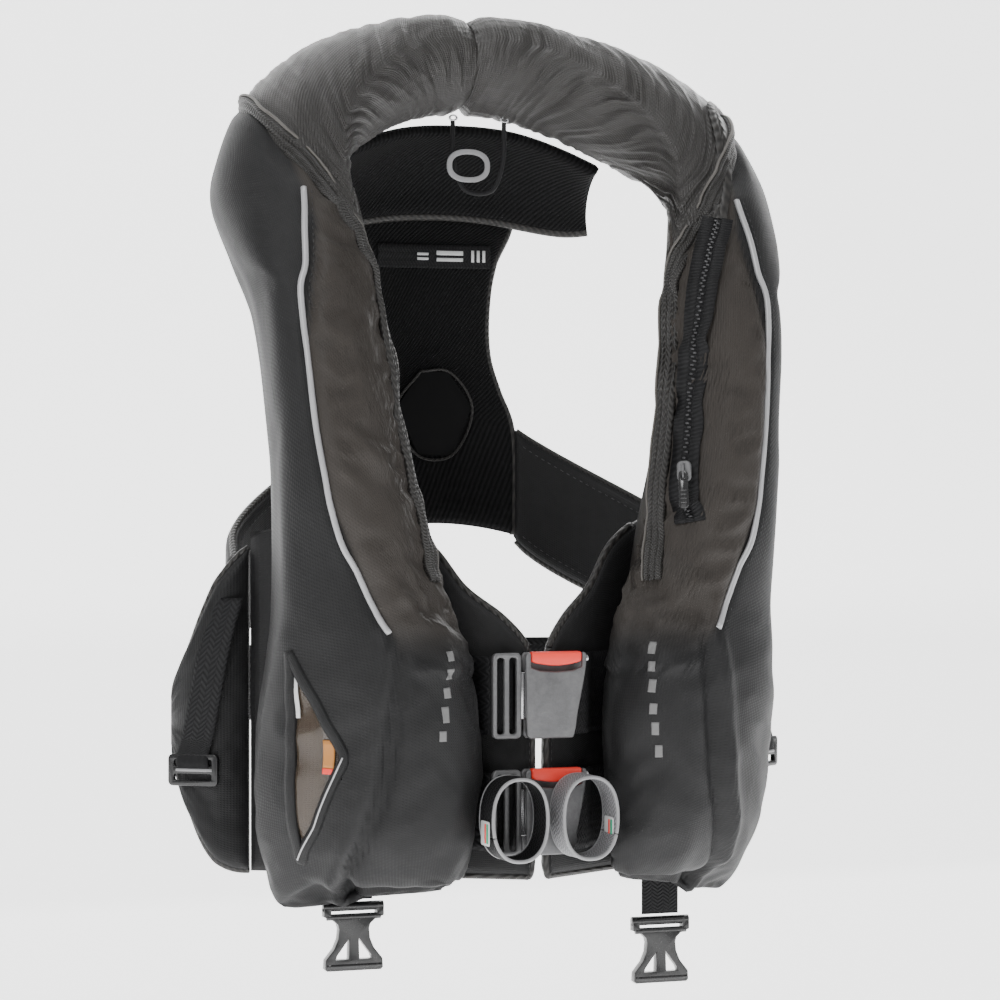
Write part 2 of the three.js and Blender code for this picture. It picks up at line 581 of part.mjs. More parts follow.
// ---- Crotch straps ------------------------------------------------------------------------------
// Each strap hangs from its vest panel's hem, and its buckle half turns on a round top bar.
const crotchAt = half - 20;  // from the middle
const crotchForward = 4;     // in front of the vest panel's middle surface
const crotchY = panelPoint(1, (crotchAt - panelRoot.x) / panelAcross.x, 0, 0).y - crotchForward;
const lobeHem = Math.min(...packAngles.map((angle) => skin(last, angle).z));
const barRadius = 3;
const buckleWidth = 39;
const buckleHeight = 43;
const right = v3(1, 0, 0);
const up = v3(0, 0, 1);
for (const [name, side, drop] of [['right', -1, 0.5], ['left', 1, 19]]) {
  const end = lobeHem - drop;
  const x = side * crotchAt;
  add(`${name}_crotch_strap`, box([x - crotchWidth / 2, crotchY - webbing / 2, end],
    [x + crotchWidth / 2, crotchY + webbing / 2, panelHem - gap]), 'webbing');
  // The outline is drawn down from the middle of the top bar.
  const middle = v3(x, crotchY, end - gap - barRadius);
  const w = buckleWidth / 2;
  const foot = 0.95 * w;
  const low = barRadius - buckleHeight;
  const outline = new THREE.Shape()
    .moveTo(w, 0).lineTo(-w, 0).lineTo(-w, -6).quadraticCurveTo(-w * 0.55, -9, -w * 0.5, -14)
    .quadraticCurveTo(-w * 0.6, -23, -foot, low + 6).lineTo(-foot, low).lineTo(foot, low)
    .lineTo(foot, low + 6).quadraticCurveTo(w * 0.6, -23, w * 0.5, -14)
    .quadraticCurveTo(w * 0.55, -9, w, -6);
  const hole = (shape) => plate(shape, 3 * barRadius, middle, right, up);
  const slot = new THREE.Shape().moveTo(-15, -1).lineTo(-15, -4.5).lineTo(15, -4.5).lineTo(15, -1);
  const teardrops = [-1, 1].map((s) =>
    new THREE.Shape().moveTo(s * 3.5, -20).lineTo(s * 3.5, -33).lineTo(s * 12, -33));
  const along = v3(w, 0, 0);
  const body = plus(plate(outline, 2 * barRadius, middle, right, up),
    bar(middle.clone().sub(along), middle.clone().add(along), barRadius, 16));
  add(`${name}_crotch_buckle`, minus(body, hole(slot), ...teardrops.map(hole)), 'blackPlastic');
}

// ---- Back panel, side straps and waist belt ------------------------------------------------------
// The harness follows the torso: each pair is [from the middle, share of the way to the back].
const torsoFront = 57;
const behind = (share) => lerp(torsoFront, backDepth, share);
const torsoSide = [[half + 44, 0], [half + 32, 39 / 106], [half - 6, 77 / 106], [half / 2, 100 / 106]]
  .map(([x, share]) => [x, behind(share)]);
const torso = new THREE.CatmullRomCurve3([
  ...torsoSide.map(([x, y]) => v3(-x, y, 0)), v3(0, backDepth, 0),
  ...[...torsoSide].reverse().map(([x, y]) => v3(x, y, 0)),
]);
const torsoLength = torso.getLength();
// A point on the back of the torso: s is measured round it from the spine.
function torsoPoint(s, z, off = 0) {
  const u = THREE.MathUtils.clamp(0.5 + s / torsoLength, 0, 1);
  const way = torso.getTangentAt(u);
  return torso.getPointAt(u).add(v3(-way.y * off, way.x * off, z));
}
const trunk = new THREE.CatmullRomCurve3([
  [62, 12], [54, -14], [44, -36], [39, -69], [40, -99], [47, -122], [56, -146], [58, -220],
].map(([x, z]) => v3(x, z, 0)));
add('back_panel', sheet((u, v) => {
  const edge = trunk.getPoint(v);
  return torsoPoint((2 * u - 1) * edge.x, edge.y + v * 8 * (1 - (2 * u - 1) ** 2));
}, 10, 14, backWall), 'matteFabric');
const strapSeam = 58 + gap;
const strapEnd = torsoLength / 2 - gap;
for (const [name, side] of [['right', -1], ['left', 1]]) {
  add(`${name}_side_strap`, sheet((u, v) => {
    const s = lerp(strapSeam, strapEnd, u);
    const top = lerp(-148, 206 - lobeDrop, u ** 0.9);
    const bottom = lerp(-221, 138 - lobeDrop, u ** 0.7);
    return torsoPoint(side * s, lerp(top, bottom, v));
  }, 12, 3, backWall), 'matteFabric');
}
const front = -(backWall / 2 + gap);
const patchHalf = 27;
const patchThick = 2;
const patchY = torsoPoint(patchHalf, 0).y + front - patchThick / 2 - 0.2;
const hexagon = new THREE.Shape().moveTo(-10, 28).lineTo(10, 28).lineTo(patchHalf, 4).lineTo(12, -29)
  .lineTo(-12, -29).lineTo(-patchHalf, 4);
add('lumbar_mesh_patch', plate(hexagon, patchThick, v3(0, patchY, -137), v3(1, 0, 0), v3(0, 0, 1)), 'mesh');
add('label_band', sheet((u, v) => torsoPoint(lerp(-41, 41, u), lerp(-23, -39, v), front - 0.6), 8, 1, 1),
  'webbing');

// The waist belt runs outside the side straps and ends behind the hip wings.
const beltSide = [
  [half + 77, 84], [half + 63.5, 64], [half + 54.5, 60], [half + 50.5, 66],
  [half + 39, torsoSide[1][1] + 3], [half - 2, torsoSide[2][1] + 5], [half / 2 + 1, torsoSide[3][1] + 6],
];
add('waist_belt', band([
  ...beltSide.map(([x, y]) => v3(-x, y, -beltDrop)), v3(0, backDepth + 6, -beltDrop),
  ...[...beltSide].reverse().map(([x, y]) => v3(x, y, -beltDrop)),
], v3(0, 0, 1), beltWidth, webbing, 36), 'webbing');

// ---- Nape pad, hanging loop and tag ---------------------------------------------------------------
const napeEnd = 1.9;         // station where the pad ends on each side
const napeThick = 10;
const napeRoom = 0.8;        // between the pad's foot and the back panel
const napeSpread = 0.08;     // how much wider the pad's foot is
const napeDrop = collarRise - 34;
add('nape_pad', sheet((u, v) => {
  const k = lerp(-napeEnd, napeEnd, u);
  const top = skin(k, 312, 6.2);
  const spread = napeSpread * top.x;
  const foot = torsoPoint(top.x + spread, 0, -(backWall / 2 + napeRoom + napeThick / 2));
  return top.add(v3(spread * v, (foot.y - top.y) * Math.sin(v * Math.PI / 2), -napeDrop * v ** 1.4));
}, 14, 5, napeThick), 'mesh');

// The loop's two ends are sewn under the collar, and the oval tag is threaded on it.
const loopCord = 1.5;        // radius
const loopEnds = skin(0, 292, 2);
const loopX = [-8, 28];
const loopDrop = 46;
const hangY = loopEnds.y;
const hangPath = new THREE.CatmullRomCurve3([
  v3(loopX[0], hangY, loopEnds.z), v3(loopX[0] + 1, hangY, loopEnds.z - loopDrop * 0.6),
  v3(loopX[0] + 9, hangY, loopEnds.z - loopDrop), v3(loopX[1] - 9, hangY, loopEnds.z - loopDrop),
  v3(loopX[1] - 1, hangY, loopEnds.z - loopDrop * 0.6), v3(loopX[1], hangY, loopEnds.z),
]);
add('hanging_loop', new THREE.ExtrudeGeometry(new THREE.Shape().absarc(0, 0, loopCord, 0, 2 * Math.PI),
  { extrudePath: hangPath, steps: 24, curveSegments: 4 }), 'webbing');
const tagRing = oval(30, 22, THREE.Shape);
tagRing.holes.push(oval(22, 14, THREE.Path));
const tagAt = v3(2, hangY - loopCord - gap - 1, loopEnds.z - 30);
add('oval_tag', plate(tagRing, 2, tagAt, v3(1, 0, 0), v3(0, 0, 1)), 'piping');

// ---- Hip wings with their adjusters ---------------------------------------------------------------
const wingPlan = new THREE.CatmullRomCurve3([
  v3(half + 45, 50.2, 0), v3(half + 57, 51, 0), v3(half + 69, 58, 0), v3(half + 78, 74, 0),
]);
const wingWall = (u) => 13 - 4 * u;
// A point of a hip wing: u runs outwards, z is the height, and "off" is measured forwards.
function wingPoint(side, u, z, off = 0) {
  const p = wingPlan.getPoint(u);
  const way = wingPlan.getTangent(u);
  return v3(side * (p.x + way.y * off), p.y - way.x * off, z);
}
for (const [name, side] of [['right', -1], ['left', 1]]) {
  add(`${name}_hip_wing`, sheet((u, v) => {
    const top = 213 - 95 * u ** 1.3;
    const bottom = 10 + 78 * u ** 2.2;
    return wingPoint(side, u, lerp(top, bottom, v) - lobeDrop);
  }, 8, 6, wingWall), 'matteFabric');
  const onWing = (u, z, off) => wingPoint(side, u, z, wingWall(u) / 2 + gap + off);
  add(`${name}_adjuster_strap`, sheet((u, v) => {
    const z = lerp(176, 86, u) - lobeDrop;
    return onWing(lerp(0.3, 0.62, u) + 0.26 * (2 * v - 1), z, 1);
  }, 10, 4, 1.6), 'webbing');
  const slider = plate(roundedBox(34, 20, 3), 4, v3(0, 0, 0), v3(1, 0, 0), v3(0, 0, 1));
  const bars = [-4.5, 4.5].map((z) =>
    plate(roundedBox(26, 4.5, 1), 12, v3(0, 0, z), v3(1, 0, 0), v3(0, 0, 1)));
  const way = wingPlan.getTangent(0.6);
  const turn = side * Math.atan2(way.y, way.x);
  const place = onWing(0.6, 74 - lobeDrop, 2.2);
  add(`${name}_adjuster_slider`, minus(slider, ...bars).rotateZ(turn).translate(place.x, place.y, place.z),
    'blackPlastic');
}

export default jacket;
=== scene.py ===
import math

import bmesh
import bpy
import numpy as np
from mathutils import Matrix, Vector, noise
from mathutils.bvhtree import BVHTree


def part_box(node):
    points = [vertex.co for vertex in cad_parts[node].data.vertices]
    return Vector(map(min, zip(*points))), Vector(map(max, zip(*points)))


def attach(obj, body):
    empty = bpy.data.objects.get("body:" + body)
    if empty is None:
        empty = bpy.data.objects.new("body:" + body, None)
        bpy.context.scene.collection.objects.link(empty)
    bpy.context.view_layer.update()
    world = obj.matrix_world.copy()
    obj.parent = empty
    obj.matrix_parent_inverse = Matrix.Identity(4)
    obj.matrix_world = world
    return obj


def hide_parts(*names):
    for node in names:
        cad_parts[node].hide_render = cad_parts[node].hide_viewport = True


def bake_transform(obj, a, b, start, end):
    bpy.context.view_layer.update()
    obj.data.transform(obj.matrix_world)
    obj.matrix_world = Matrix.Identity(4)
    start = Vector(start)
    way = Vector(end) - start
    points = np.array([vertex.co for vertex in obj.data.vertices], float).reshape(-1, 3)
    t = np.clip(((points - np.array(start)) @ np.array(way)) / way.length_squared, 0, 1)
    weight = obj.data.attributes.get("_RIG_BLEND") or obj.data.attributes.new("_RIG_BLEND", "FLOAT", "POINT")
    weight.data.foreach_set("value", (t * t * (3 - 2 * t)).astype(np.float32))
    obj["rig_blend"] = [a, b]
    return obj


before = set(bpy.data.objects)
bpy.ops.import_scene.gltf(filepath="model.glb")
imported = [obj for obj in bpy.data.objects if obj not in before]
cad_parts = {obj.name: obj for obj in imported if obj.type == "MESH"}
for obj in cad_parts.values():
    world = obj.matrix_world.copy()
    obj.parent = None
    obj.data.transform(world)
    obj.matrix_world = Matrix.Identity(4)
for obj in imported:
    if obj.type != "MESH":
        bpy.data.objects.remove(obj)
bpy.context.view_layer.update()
mm = 0.001
scene = bpy.context.scene

shot = {"azimuth": -20, "elevation": 0.5, "distance": 2.1, "lens": 118, "target": (0, 0.026, -0.195)}
azimuth, elevation = math.radians(shot["azimuth"]), math.radians(shot["elevation"])
towards = Vector((math.sin(azimuth) * math.cos(elevation), -math.cos(azimuth) * math.cos(elevation),
                  math.sin(elevation)))
camera = bpy.data.objects.new("camera", bpy.data.cameras.new("camera"))
camera.data.lens, camera.data.sensor_width = shot["lens"], 36
camera.location = Vector(shot["target"]) + towards * shot["distance"]
camera.rotation_euler = (-towards).to_track_quat("-Z", "Y").to_euler()
scene.collection.objects.link(camera)
scene.camera = camera


def curvePoint(points, t):  # a centripetal Catmull-Rom curve, t from 0 to 1
    n = len(points)
    place = (n - 1) * t
    i = max(0, min(int(place), n - 2))
    w = place - i
    p1, p2 = points[i], points[i + 1]
    p0 = points[i - 1] if i else 2 * p1 - p2
    p3 = points[i + 2] if i + 2 < n else 2 * p2 - p1
    d0, d1, d2 = (max(float(np.dot(b - a, b - a)) ** 0.25, 1e-4) for a, b in ((p0, p1), (p1, p2), (p2, p3)))
    t1 = ((p1 - p0) / d0 - (p2 - p0) / (d0 + d1) + (p2 - p1) / d1) * d1
    t2 = ((p2 - p1) / d1 - (p3 - p1) / (d1 + d2) + (p3 - p2) / d2) * d1
    return p1 + t1 * w + (3 * (p2 - p1) - 2 * t1 - t2) * w * w + (2 * (p1 - p2) + t1 + t2) * w ** 3


# Each station of one side: centre line, the way out from the wearer, half-width, front depth, rear depth.
stations = [
    ((0, 97, 88), (0, 0.5, 0.87), (38, 34, 30)),
    ((48, 91, 83), (0.15, 0.45, 0.87), (39, 34, 30)),
    ((91, 72, 63), (0.45, 0.2, 0.87), (43, 41, 30)),
    ((125, 52, 34), (0.7, -0.15, 0.7), (47, 44, 29)),
    ((143, 32, 0), (0.72, -0.55, 0.42), (48, 40, 28)),
    ((141, 12, -35), (0.6, -0.75, 0.2), (47, 44, 27)),
    ((135, -3, -74.5), (0.5, -0.86, 0.05), (45, 47, 27)),
    ((124, -16, -162), (0.5, -0.866, 0), (48, 50, 27)),
    ((112, -18, -254), (0.5, -0.866, 0), (60, 51, 27)),
    ((105, -20, -324), (0.5, -0.866, 0), (75, 50, 26)),
    ((106, -17, -390), (0.5, -0.866, 0), (73, 42, 22)),
    ((104, -12, -425), (0.5, -0.866, 0), (64, 25, 12)),
    ((101, -10, -438), (0.5, -0.866, 0), (55, 7, 5)),
]
hem = len(stations) - 1
mirrored = [((-a[0], *a[1:]), (-o[0], *o[1:]), s) for a, o, s in stations[:0:-1]]
centres, outs, halves = (np.array([s[i] for s in mirrored + stations], float) for i in range(3))


def frameSample(k):
    t = (k + hem) / (2 * hem)
    tangent = curvePoint(centres, min(t + 1e-4, 1)) - curvePoint(centres, max(t - 1e-4, 0))
    tangent /= np.linalg.norm(tangent)
    across = np.cross(curvePoint(outs, t), tangent)
    across /= np.linalg.norm(across)
    return np.concatenate([curvePoint(centres, t), across, np.cross(tangent, across),
                           curvePoint(halves, t)])


stride = 60                                              # samples for each station
sampledAt = np.linspace(-hem, hem, 2 * hem * stride + 1)
frameTable = np.array([frameSample(k) for k in sampledAt])


def frameAt(k):
    place = min(max((k + hem) * stride, 0), len(sampledAt) - 1.001)
    i = int(place)
    row = frameTable[i] + (frameTable[i + 1] - frameTable[i]) * (place - i)
    return row[:3], row[3:6], row[6:9], row[9:]


def skin(k, angle, lift=0.0):  # angle 0 is the outer edge, 90 the front, 180 the inner edge
    centre, across, out, (half, front, rear) = frameAt(k)
    a = math.radians(angle)
    deep = front if math.sin(a) > 0 else rear
    return centre + across * (half + lift) * math.cos(a) + out * (deep + lift) * math.sin(a)


def stationAt(z):
    first = (hem + 3) * stride
    return float(np.interp(-z, -frameTable[first:, 2], sampledAt[first:]))


def between(x, pairs):  # straight-line interpolation
    return float(np.interp(x, [p[0] for p in pairs], [p[1] for p in pairs]))


def rise(x):
    x = min(1.0, max(0.0, x))
    return x * x * (3 - 2 * x)


def ripple(x, y, seed):
    return noise.noise(Vector((x, y, seed)))


def crease(x, y, seed):                                  # sharp ridges
    return 1 - 2 * abs(ripple(x, y, seed))


def finished(name, mesh, material, smooth=True):
    bmesh.ops.recalc_face_normals(mesh, faces=mesh.faces)
    data = bpy.data.meshes.new(name)
    mesh.to_mesh(data)
    mesh.free()
    for m in material if isinstance(material, (list, tuple)) else [material]:
        data.materials.append(m)
    data.polygons.foreach_set("use_smooth", [smooth] * len(data.polygons))
    piece = bpy.data.objects.new(name, data)
    scene.collection.objects.link(piece)
    return piece


def grid(mesh, uSteps, vSteps, size):  # u and v from 0 to 1, with a flat map in millimetres
    flat = mesh.loops.layers.uv.verify()
    made = bmesh.ops.create_grid(mesh, x_segments=uSteps, y_segments=vSteps, size=0.5)["verts"]
    for v in made:
        v.co.x, v.co.y = v.co.x + 0.5, v.co.y + 0.5
        for loop in v.link_loops:
            loop[flat].uv = (v.co.x * size[0], v.co.y * size[1])
    return made


def tube(name, point, uSteps, vSteps, material, size=(100, 100), keep=False):  # v runs round it
    mesh = bmesh.new()
    names = ("along", "cosine", "sine")
    along, cosine, sine = (mesh.verts.layers.float.new(n) for n in names)
    for v in grid(mesh, uSteps, vSteps, size):
        u, w = v.co.x, v.co.y
        v[along], v[cosine], v[sine] = u, math.cos(2 * math.pi * w), math.sin(2 * math.pi * w)
        v.co = Vector(point(u, w % 1.0)) * mm
    bmesh.ops.remove_doubles(mesh, verts=mesh.verts, dist=1e-6)
    bmesh.ops.holes_fill(mesh, edges=[e for e in mesh.edges if e.is_boundary], sides=0)
    if not keep:
        for n in names:
            mesh.verts.layers.float.remove(mesh.verts.layers.float[n])
    return finished(name, mesh, material)


# A padded sheet between two faces that meet in a thin rim; relief adds to its first face.
def pad(name, middle, uSteps, vSteps, size, thick, material, rim=1.6, soft=9, relief=None):
    mesh = bmesh.new()
    d = 1e-3
    for side in (1, -1):
        for v in grid(mesh, uSteps, vSteps, size):
            u, w = v.co.x, v.co.y
            alongU = middle(min(u + d, 1), w) - middle(max(u - d, 0), w)
            alongV = middle(u, min(w + d, 1)) - middle(u, max(w - d, 0))
            normal = np.cross(alongU, alongV)
            normal /= max(np.linalg.norm(normal), 1e-9)
            inwards = min(min(u, 1 - u) * size[0], min(w, 1 - w) * size[1])
            dome = math.sqrt(max(0.0, 1 - (1 - min(1.0, inwards / soft)) ** 2)) if soft else 1
            depth = (rim + (thick - rim) * dome) / 2
            if relief and side > 0:
                depth += relief(u, w) * dome
            v.co = Vector(middle(u, w) + normal * side * depth) * mm
    bmesh.ops.bridge_loops(mesh, edges=[e for e in mesh.edges if e.is_boundary])
    return finished(name, mesh, material)


# Flat webbing: line(u) is its middle, acrossWay(u) the direction of its width.
def webbingBand(name, line, acrossWay, width, thick, material, steps=60, relief=None):
    length = sum(np.linalg.norm(line((i + 1) / 40) - line(i / 40)) for i in range(40))
    middle = lambda u, w: line(u) + acrossWay(u) * width * (w - 0.5)
    return pad(name, middle, steps, 12, (length, width), thick, material, rim=thick * 0.55, soft=1.4,
               relief=relief)


# A flat outline with holes, depth thick about place, with bevelled edges.
def plate(name, outlines, depth, place, right, up, material, bevel=0.8, segments=2):
    mesh = bmesh.new()
    edges = []
    for loop in outlines:
        ring = [mesh.verts.new((x, y, -depth / 2)) for x, y in loop]
        edges += [mesh.edges.new((a, b)) for a, b in zip(ring, ring[1:] + ring[:1])]
    faces = [f for f in bmesh.ops.triangle_fill(mesh, edges=edges, use_beauty=True)["geom"]
             if isinstance(f, bmesh.types.BMFace)]
    bmesh.ops.dissolve_limit(mesh, angle_limit=0.01, verts=[], edges=mesh.edges)
    top = bmesh.ops.extrude_face_region(mesh, geom=mesh.faces[:])["geom"]
    bmesh.ops.translate(mesh, vec=(0, 0, depth),
                        verts=[v for v in top if isinstance(v, bmesh.types.BMVert)])
    bmesh.ops.recalc_face_normals(mesh, faces=mesh.faces)
    if bevel:
        sharp = [e for e in mesh.edges if len(e.link_faces) == 2 and e.calc_face_angle(0) > 0.9]
        bmesh.ops.bevel(mesh, geom=sharp, offset=bevel, offset_type="OFFSET", segments=segments,
                        profile=0.5,
                        affect="EDGES", material=-1, clamp_overlap=True)
    right, up = Vector(right).normalized(), Vector(up).normalized()
    basis = Matrix((right, up, right.cross(up))).transposed().to_4x4()
    basis.translation = Vector(place)
    bmesh.ops.transform(mesh, matrix=Matrix.Scale(mm, 4) @ basis, verts=mesh.verts)
    return finished(name, mesh, material)


def rounded(width, height, corner, at=(0, 0), steps=5):  # the outline of a rounded box
    x, y = width / 2 - corner, height / 2 - corner
    return [(at[0] + sx * x + corner * math.cos(a), at[1] + sy * y + corner * math.sin(a))
            for quarter, (sx, sy) in enumerate(((1, 1), (-1, 1), (-1, -1), (1, -1)))
            for a in (math.pi / 2 * (quarter + i / steps) for i in range(steps + 1))]


def ellipse(width, height, at=(0, 0), steps=48, power=1.0):
    turns = [2 * math.pi * i / steps for i in range(steps)]
    return [(at[0] + width / 2 * math.copysign(abs(math.cos(a)) ** power, math.cos(a)),
             at[1] + height / 2 * math.copysign(abs(math.sin(a)) ** power, math.sin(a))) for a in turns]


# A round cord or bar along points.
def rod(name, points, radius, material, sides=10, steps=None):
    points = [np.array(p, float) for p in points]
    steps = steps or len(points) * 6
    line = lambda u: curvePoint(points, u)

    def at(u, w):
        way = line(min(u + 1e-3, 1)) - line(max(u - 1e-3, 0))
        way /= np.linalg.norm(way)
        side = np.cross(way, (0.31, 0.17, 0.93))
        side /= np.linalg.norm(side)
        turn = 2 * math.pi * w
        return line(u) + radius * (side * math.cos(turn) + np.cross(way, side) * math.sin(turn))
    return tube(name, at, steps, sides, material, (100, 10))


def joined(name, pieces):  # one piece from several
    mesh = bmesh.new()
    materials = []
    for p in pieces:
        offset = len(materials)
        part = bmesh.new()
        part.from_mesh(p.data)
        for f in part.faces:
            f.material_index += offset
        data = bpy.data.meshes.new("part")
        part.to_mesh(data)
        mesh.from_mesh(data)
        bpy.data.meshes.remove(data)
        materials += list(p.data.materials)
        bpy.data.objects.remove(p)
        part.free()
    return finished(name, mesh, materials)


# A row of stitches along points, lying on the surface with those normals.
def stitched(name, points, normals, material, length=3.0, spacing=5.0, width=0.7, height=0.5):
    mesh = bmesh.new()
    walk = np.concatenate([[0], np.cumsum([np.linalg.norm(b - a) for a, b in zip(points, points[1:])])])
    for s in np.arange(spacing / 2, walk[-1], spacing):
        i = min(int(np.searchsorted(walk, s)) - 1, len(points) - 2)
        share = (s - walk[i]) / max(walk[i + 1] - walk[i], 1e-9)
        way = Vector(points[i + 1] - points[i]).normalized()
        out = Vector(normals[i]).normalized()
        side = out.cross(way).normalized()
        out = way.cross(side)
        basis = Matrix((way, side, out)).transposed().to_4x4()
        basis.translation = Vector(points[i] + (points[i + 1] - points[i]) * share)
        made = bmesh.ops.create_icosphere(mesh, subdivisions=1, radius=0.5)["verts"]
        shape = Matrix.Diagonal((length, width, height, 1))
        bmesh.ops.transform(mesh, matrix=Matrix.Scale(mm, 4) @ basis @ shape, verts=made)
    return finished(name, mesh, material)


# Inflates a closed cover with the cloth solver and holds each vertex within cap millimetres of its start.
def plump(piece, pressure, growth, cap):
    rest = np.array([v.co for v in piece.data.vertices])
    solver = piece.modifiers.new("solver", "CLOTH")
    cloth = solver.settings
    cloth.use_pressure, cloth.uniform_pressure_force = True, pressure
    cloth.shrink_min = -growth
    cloth.tension_stiffness = cloth.compression_stiffness = 12
    cloth.bending_stiffness = 0.15
    cloth.quality = 6
    cloth.effector_weights.gravity = 0
    solver.point_cache.frame_end = 20
    for f in range(1, 21):
        scene.frame_set(f)
    moved = piece.evaluated_get(bpy.context.evaluated_depsgraph_get())
    ended = np.array([v.co for v in moved.data.vertices])
    piece.modifiers.remove(solver)
    scene.frame_set(1)
    shift = ended - rest
    size = np.linalg.norm(shift, axis=1, keepdims=True)
    shift *= np.minimum(1, cap * mm / np.maximum(size, 1e-9))
    piece.data.vertices.foreach_set("co", (rest + shift).astype(np.float32).ravel())
    piece.data.update()


def subdivided(piece, levels=1):  # applies a smooth subdivision
    change = piece.modifiers.new("smooth", "SUBSURF")
    change.levels = change.render_levels = levels
    data = bpy.data.meshes.new_from_object(piece.evaluated_get(bpy.context.evaluated_depsgraph_get()))
    piece.modifiers.remove(change)
    piece.data = data
    return piece


# Moves each vertex along its normal by relief(along, round, place) millimetres.
def pushed(piece, relief):
    data = piece.data
    along, cosine, sine = (np.zeros(len(data.vertices), np.float32) for _ in range(3))
    for n, values in (("along", along), ("cosine", cosine), ("sine", sine)):
        data.attributes[n].data.foreach_get("value", values)
    turned = np.arctan2(sine, cosine) / (2 * math.pi) % 1
    data.attributes.new("round", "FLOAT", "POINT").data.foreach_set("value", turned.astype(np.float32))
    places = [v.co + v.normal * relief(a, r, v.co / mm) * mm * rise(min(r, 1 - r) / 0.07)
              for v, a, r in zip(data.vertices, along, turned)]
    data.vertices.foreach_set("co", np.array(places, np.float32).ravel())
    data.update()


def node(tree, kind, inputs=None, **settings):
    made = tree.nodes.new("ShaderNode" + kind)
    for key, value in settings.items():
        setattr(made, key, value)
    for key, value in (inputs or {}).items():
        if isinstance(value, bpy.types.NodeSocket):
            tree.links.new(value, made.inputs[key])
        else:
            made.inputs[key].default_value = value
    return made


# A shared node group with a Vector input.
def effect(name, build, outputs):
    group = bpy.data.node_groups.new(name, "ShaderNodeTree")
    group.interface.new_socket("Vector", in_out="INPUT", socket_type="NodeSocketVector")
    for title, kind in outputs:
        group.interface.new_socket(title, in_out="OUTPUT", socket_type="NodeSocket" + kind)
    start, end = group.nodes.new("NodeGroupInput"), group.nodes.new("NodeGroupOutput")
    for (title, _), value in zip(outputs, build(group, start.outputs["Vector"])):
        group.links.new(value, end.inputs[title])
    return group


# A height from 0 to 1 in soft parallel lines.
def lines(tree, vector, turn, period):
    turned = node(tree, "VectorRotate", {"Vector": vector, "Axis": (0, 0, 1), "Angle": math.radians(turn)})
    split = node(tree, "SeparateXYZ", {"Vector": turned.outputs[0]})
    wave = node(tree, "Math", {0: split.outputs[0], 1: 2 * math.pi / period}, operation="MULTIPLY")
    sine = node(tree, "Math", {0: wave.outputs[0]}, operation="SINE")
    return node(tree, "Math", {0: sine.outputs[0], 1: 0.5, 2: 0.5}, operation="MULTIPLY_ADD").outputs[0]


def plainWeave(tree, vector):
    weave = node(tree, "Math", {0: lines(tree, vector, 0, 1.5), 1: lines(tree, vector, 90, 1.5)},
                 operation="MULTIPLY")
    wrinkle = node(tree, "TexNoise", {"Vector": vector, "Scale": 0.09, "Detail": 5, "Roughness": 0.62,
                                     "Distortion": 0.7})
    height = node(tree, "Math", {0: wrinkle.outputs["Fac"], 1: 2.6, 2: weave.outputs[0]},
                  operation="MULTIPLY_ADD")
    return height.outputs[0], wrinkle.outputs["Fac"]


def webbingWeave(tree, vector):
    left, right = lines(tree, vector, 32, 1.9), lines(tree, vector, -32, 1.9)
    split = node(tree, "SeparateXYZ", {"Vector": vector})
    column = node(tree, "Math", {0: split.outputs[1], 1: 4.2}, operation="PINGPONG")
    side = node(tree, "Math", {0: column.outputs[0], 1: 2.1}, operation="GREATER_THAN")
    chevron = node(tree, "Mix", {0: side.outputs[0], 2: left, 3: right})
    ribs = node(tree, "Math", {0: lines(tree, vector, 90, 4.2), 1: 0.6, 2: chevron.outputs[0]},
                operation="MULTIPLY_ADD")
    return ribs.outputs[0], chevron.outputs[0]


def spacerMesh(tree, vector):
    cells = node(tree, "TexVoronoi", {"Vector": vector, "Scale": 0.42, "Randomness": 0.12})
    diagonal = lines(tree, vector, 40, 2.6)
    height = node(tree, "Math", {0: cells.outputs["Distance"], 1: -1.0, 2: diagonal},
                  operation="MULTIPLY_ADD")
    return height.outputs[0], diagonal


def mottle(tree, vector):
    fine = node(tree, "TexNoise", {"Vector": vector, "Scale": 260, "Detail": 6, "Roughness": 0.7})
    broad = node(tree, "TexNoise", {"Vector": vector, "Scale": 40, "Detail": 3, "Roughness": 0.5})
    both = node(tree, "Math", {0: fine.outputs["Fac"], 1: broad.outputs["Fac"]}, operation="MULTIPLY")
    return fine.outputs["Fac"], both.outputs[0]


heightAndTone = [("Height", "Float"), ("Tone", "Float")]
effects = {name: effect(name, build, heightAndTone) for name, build in
           {"plainWeave": plainWeave, "webbingWeave": webbingWeave, "spacerMesh": spacerMesh,
            "mottle": mottle}.items()}


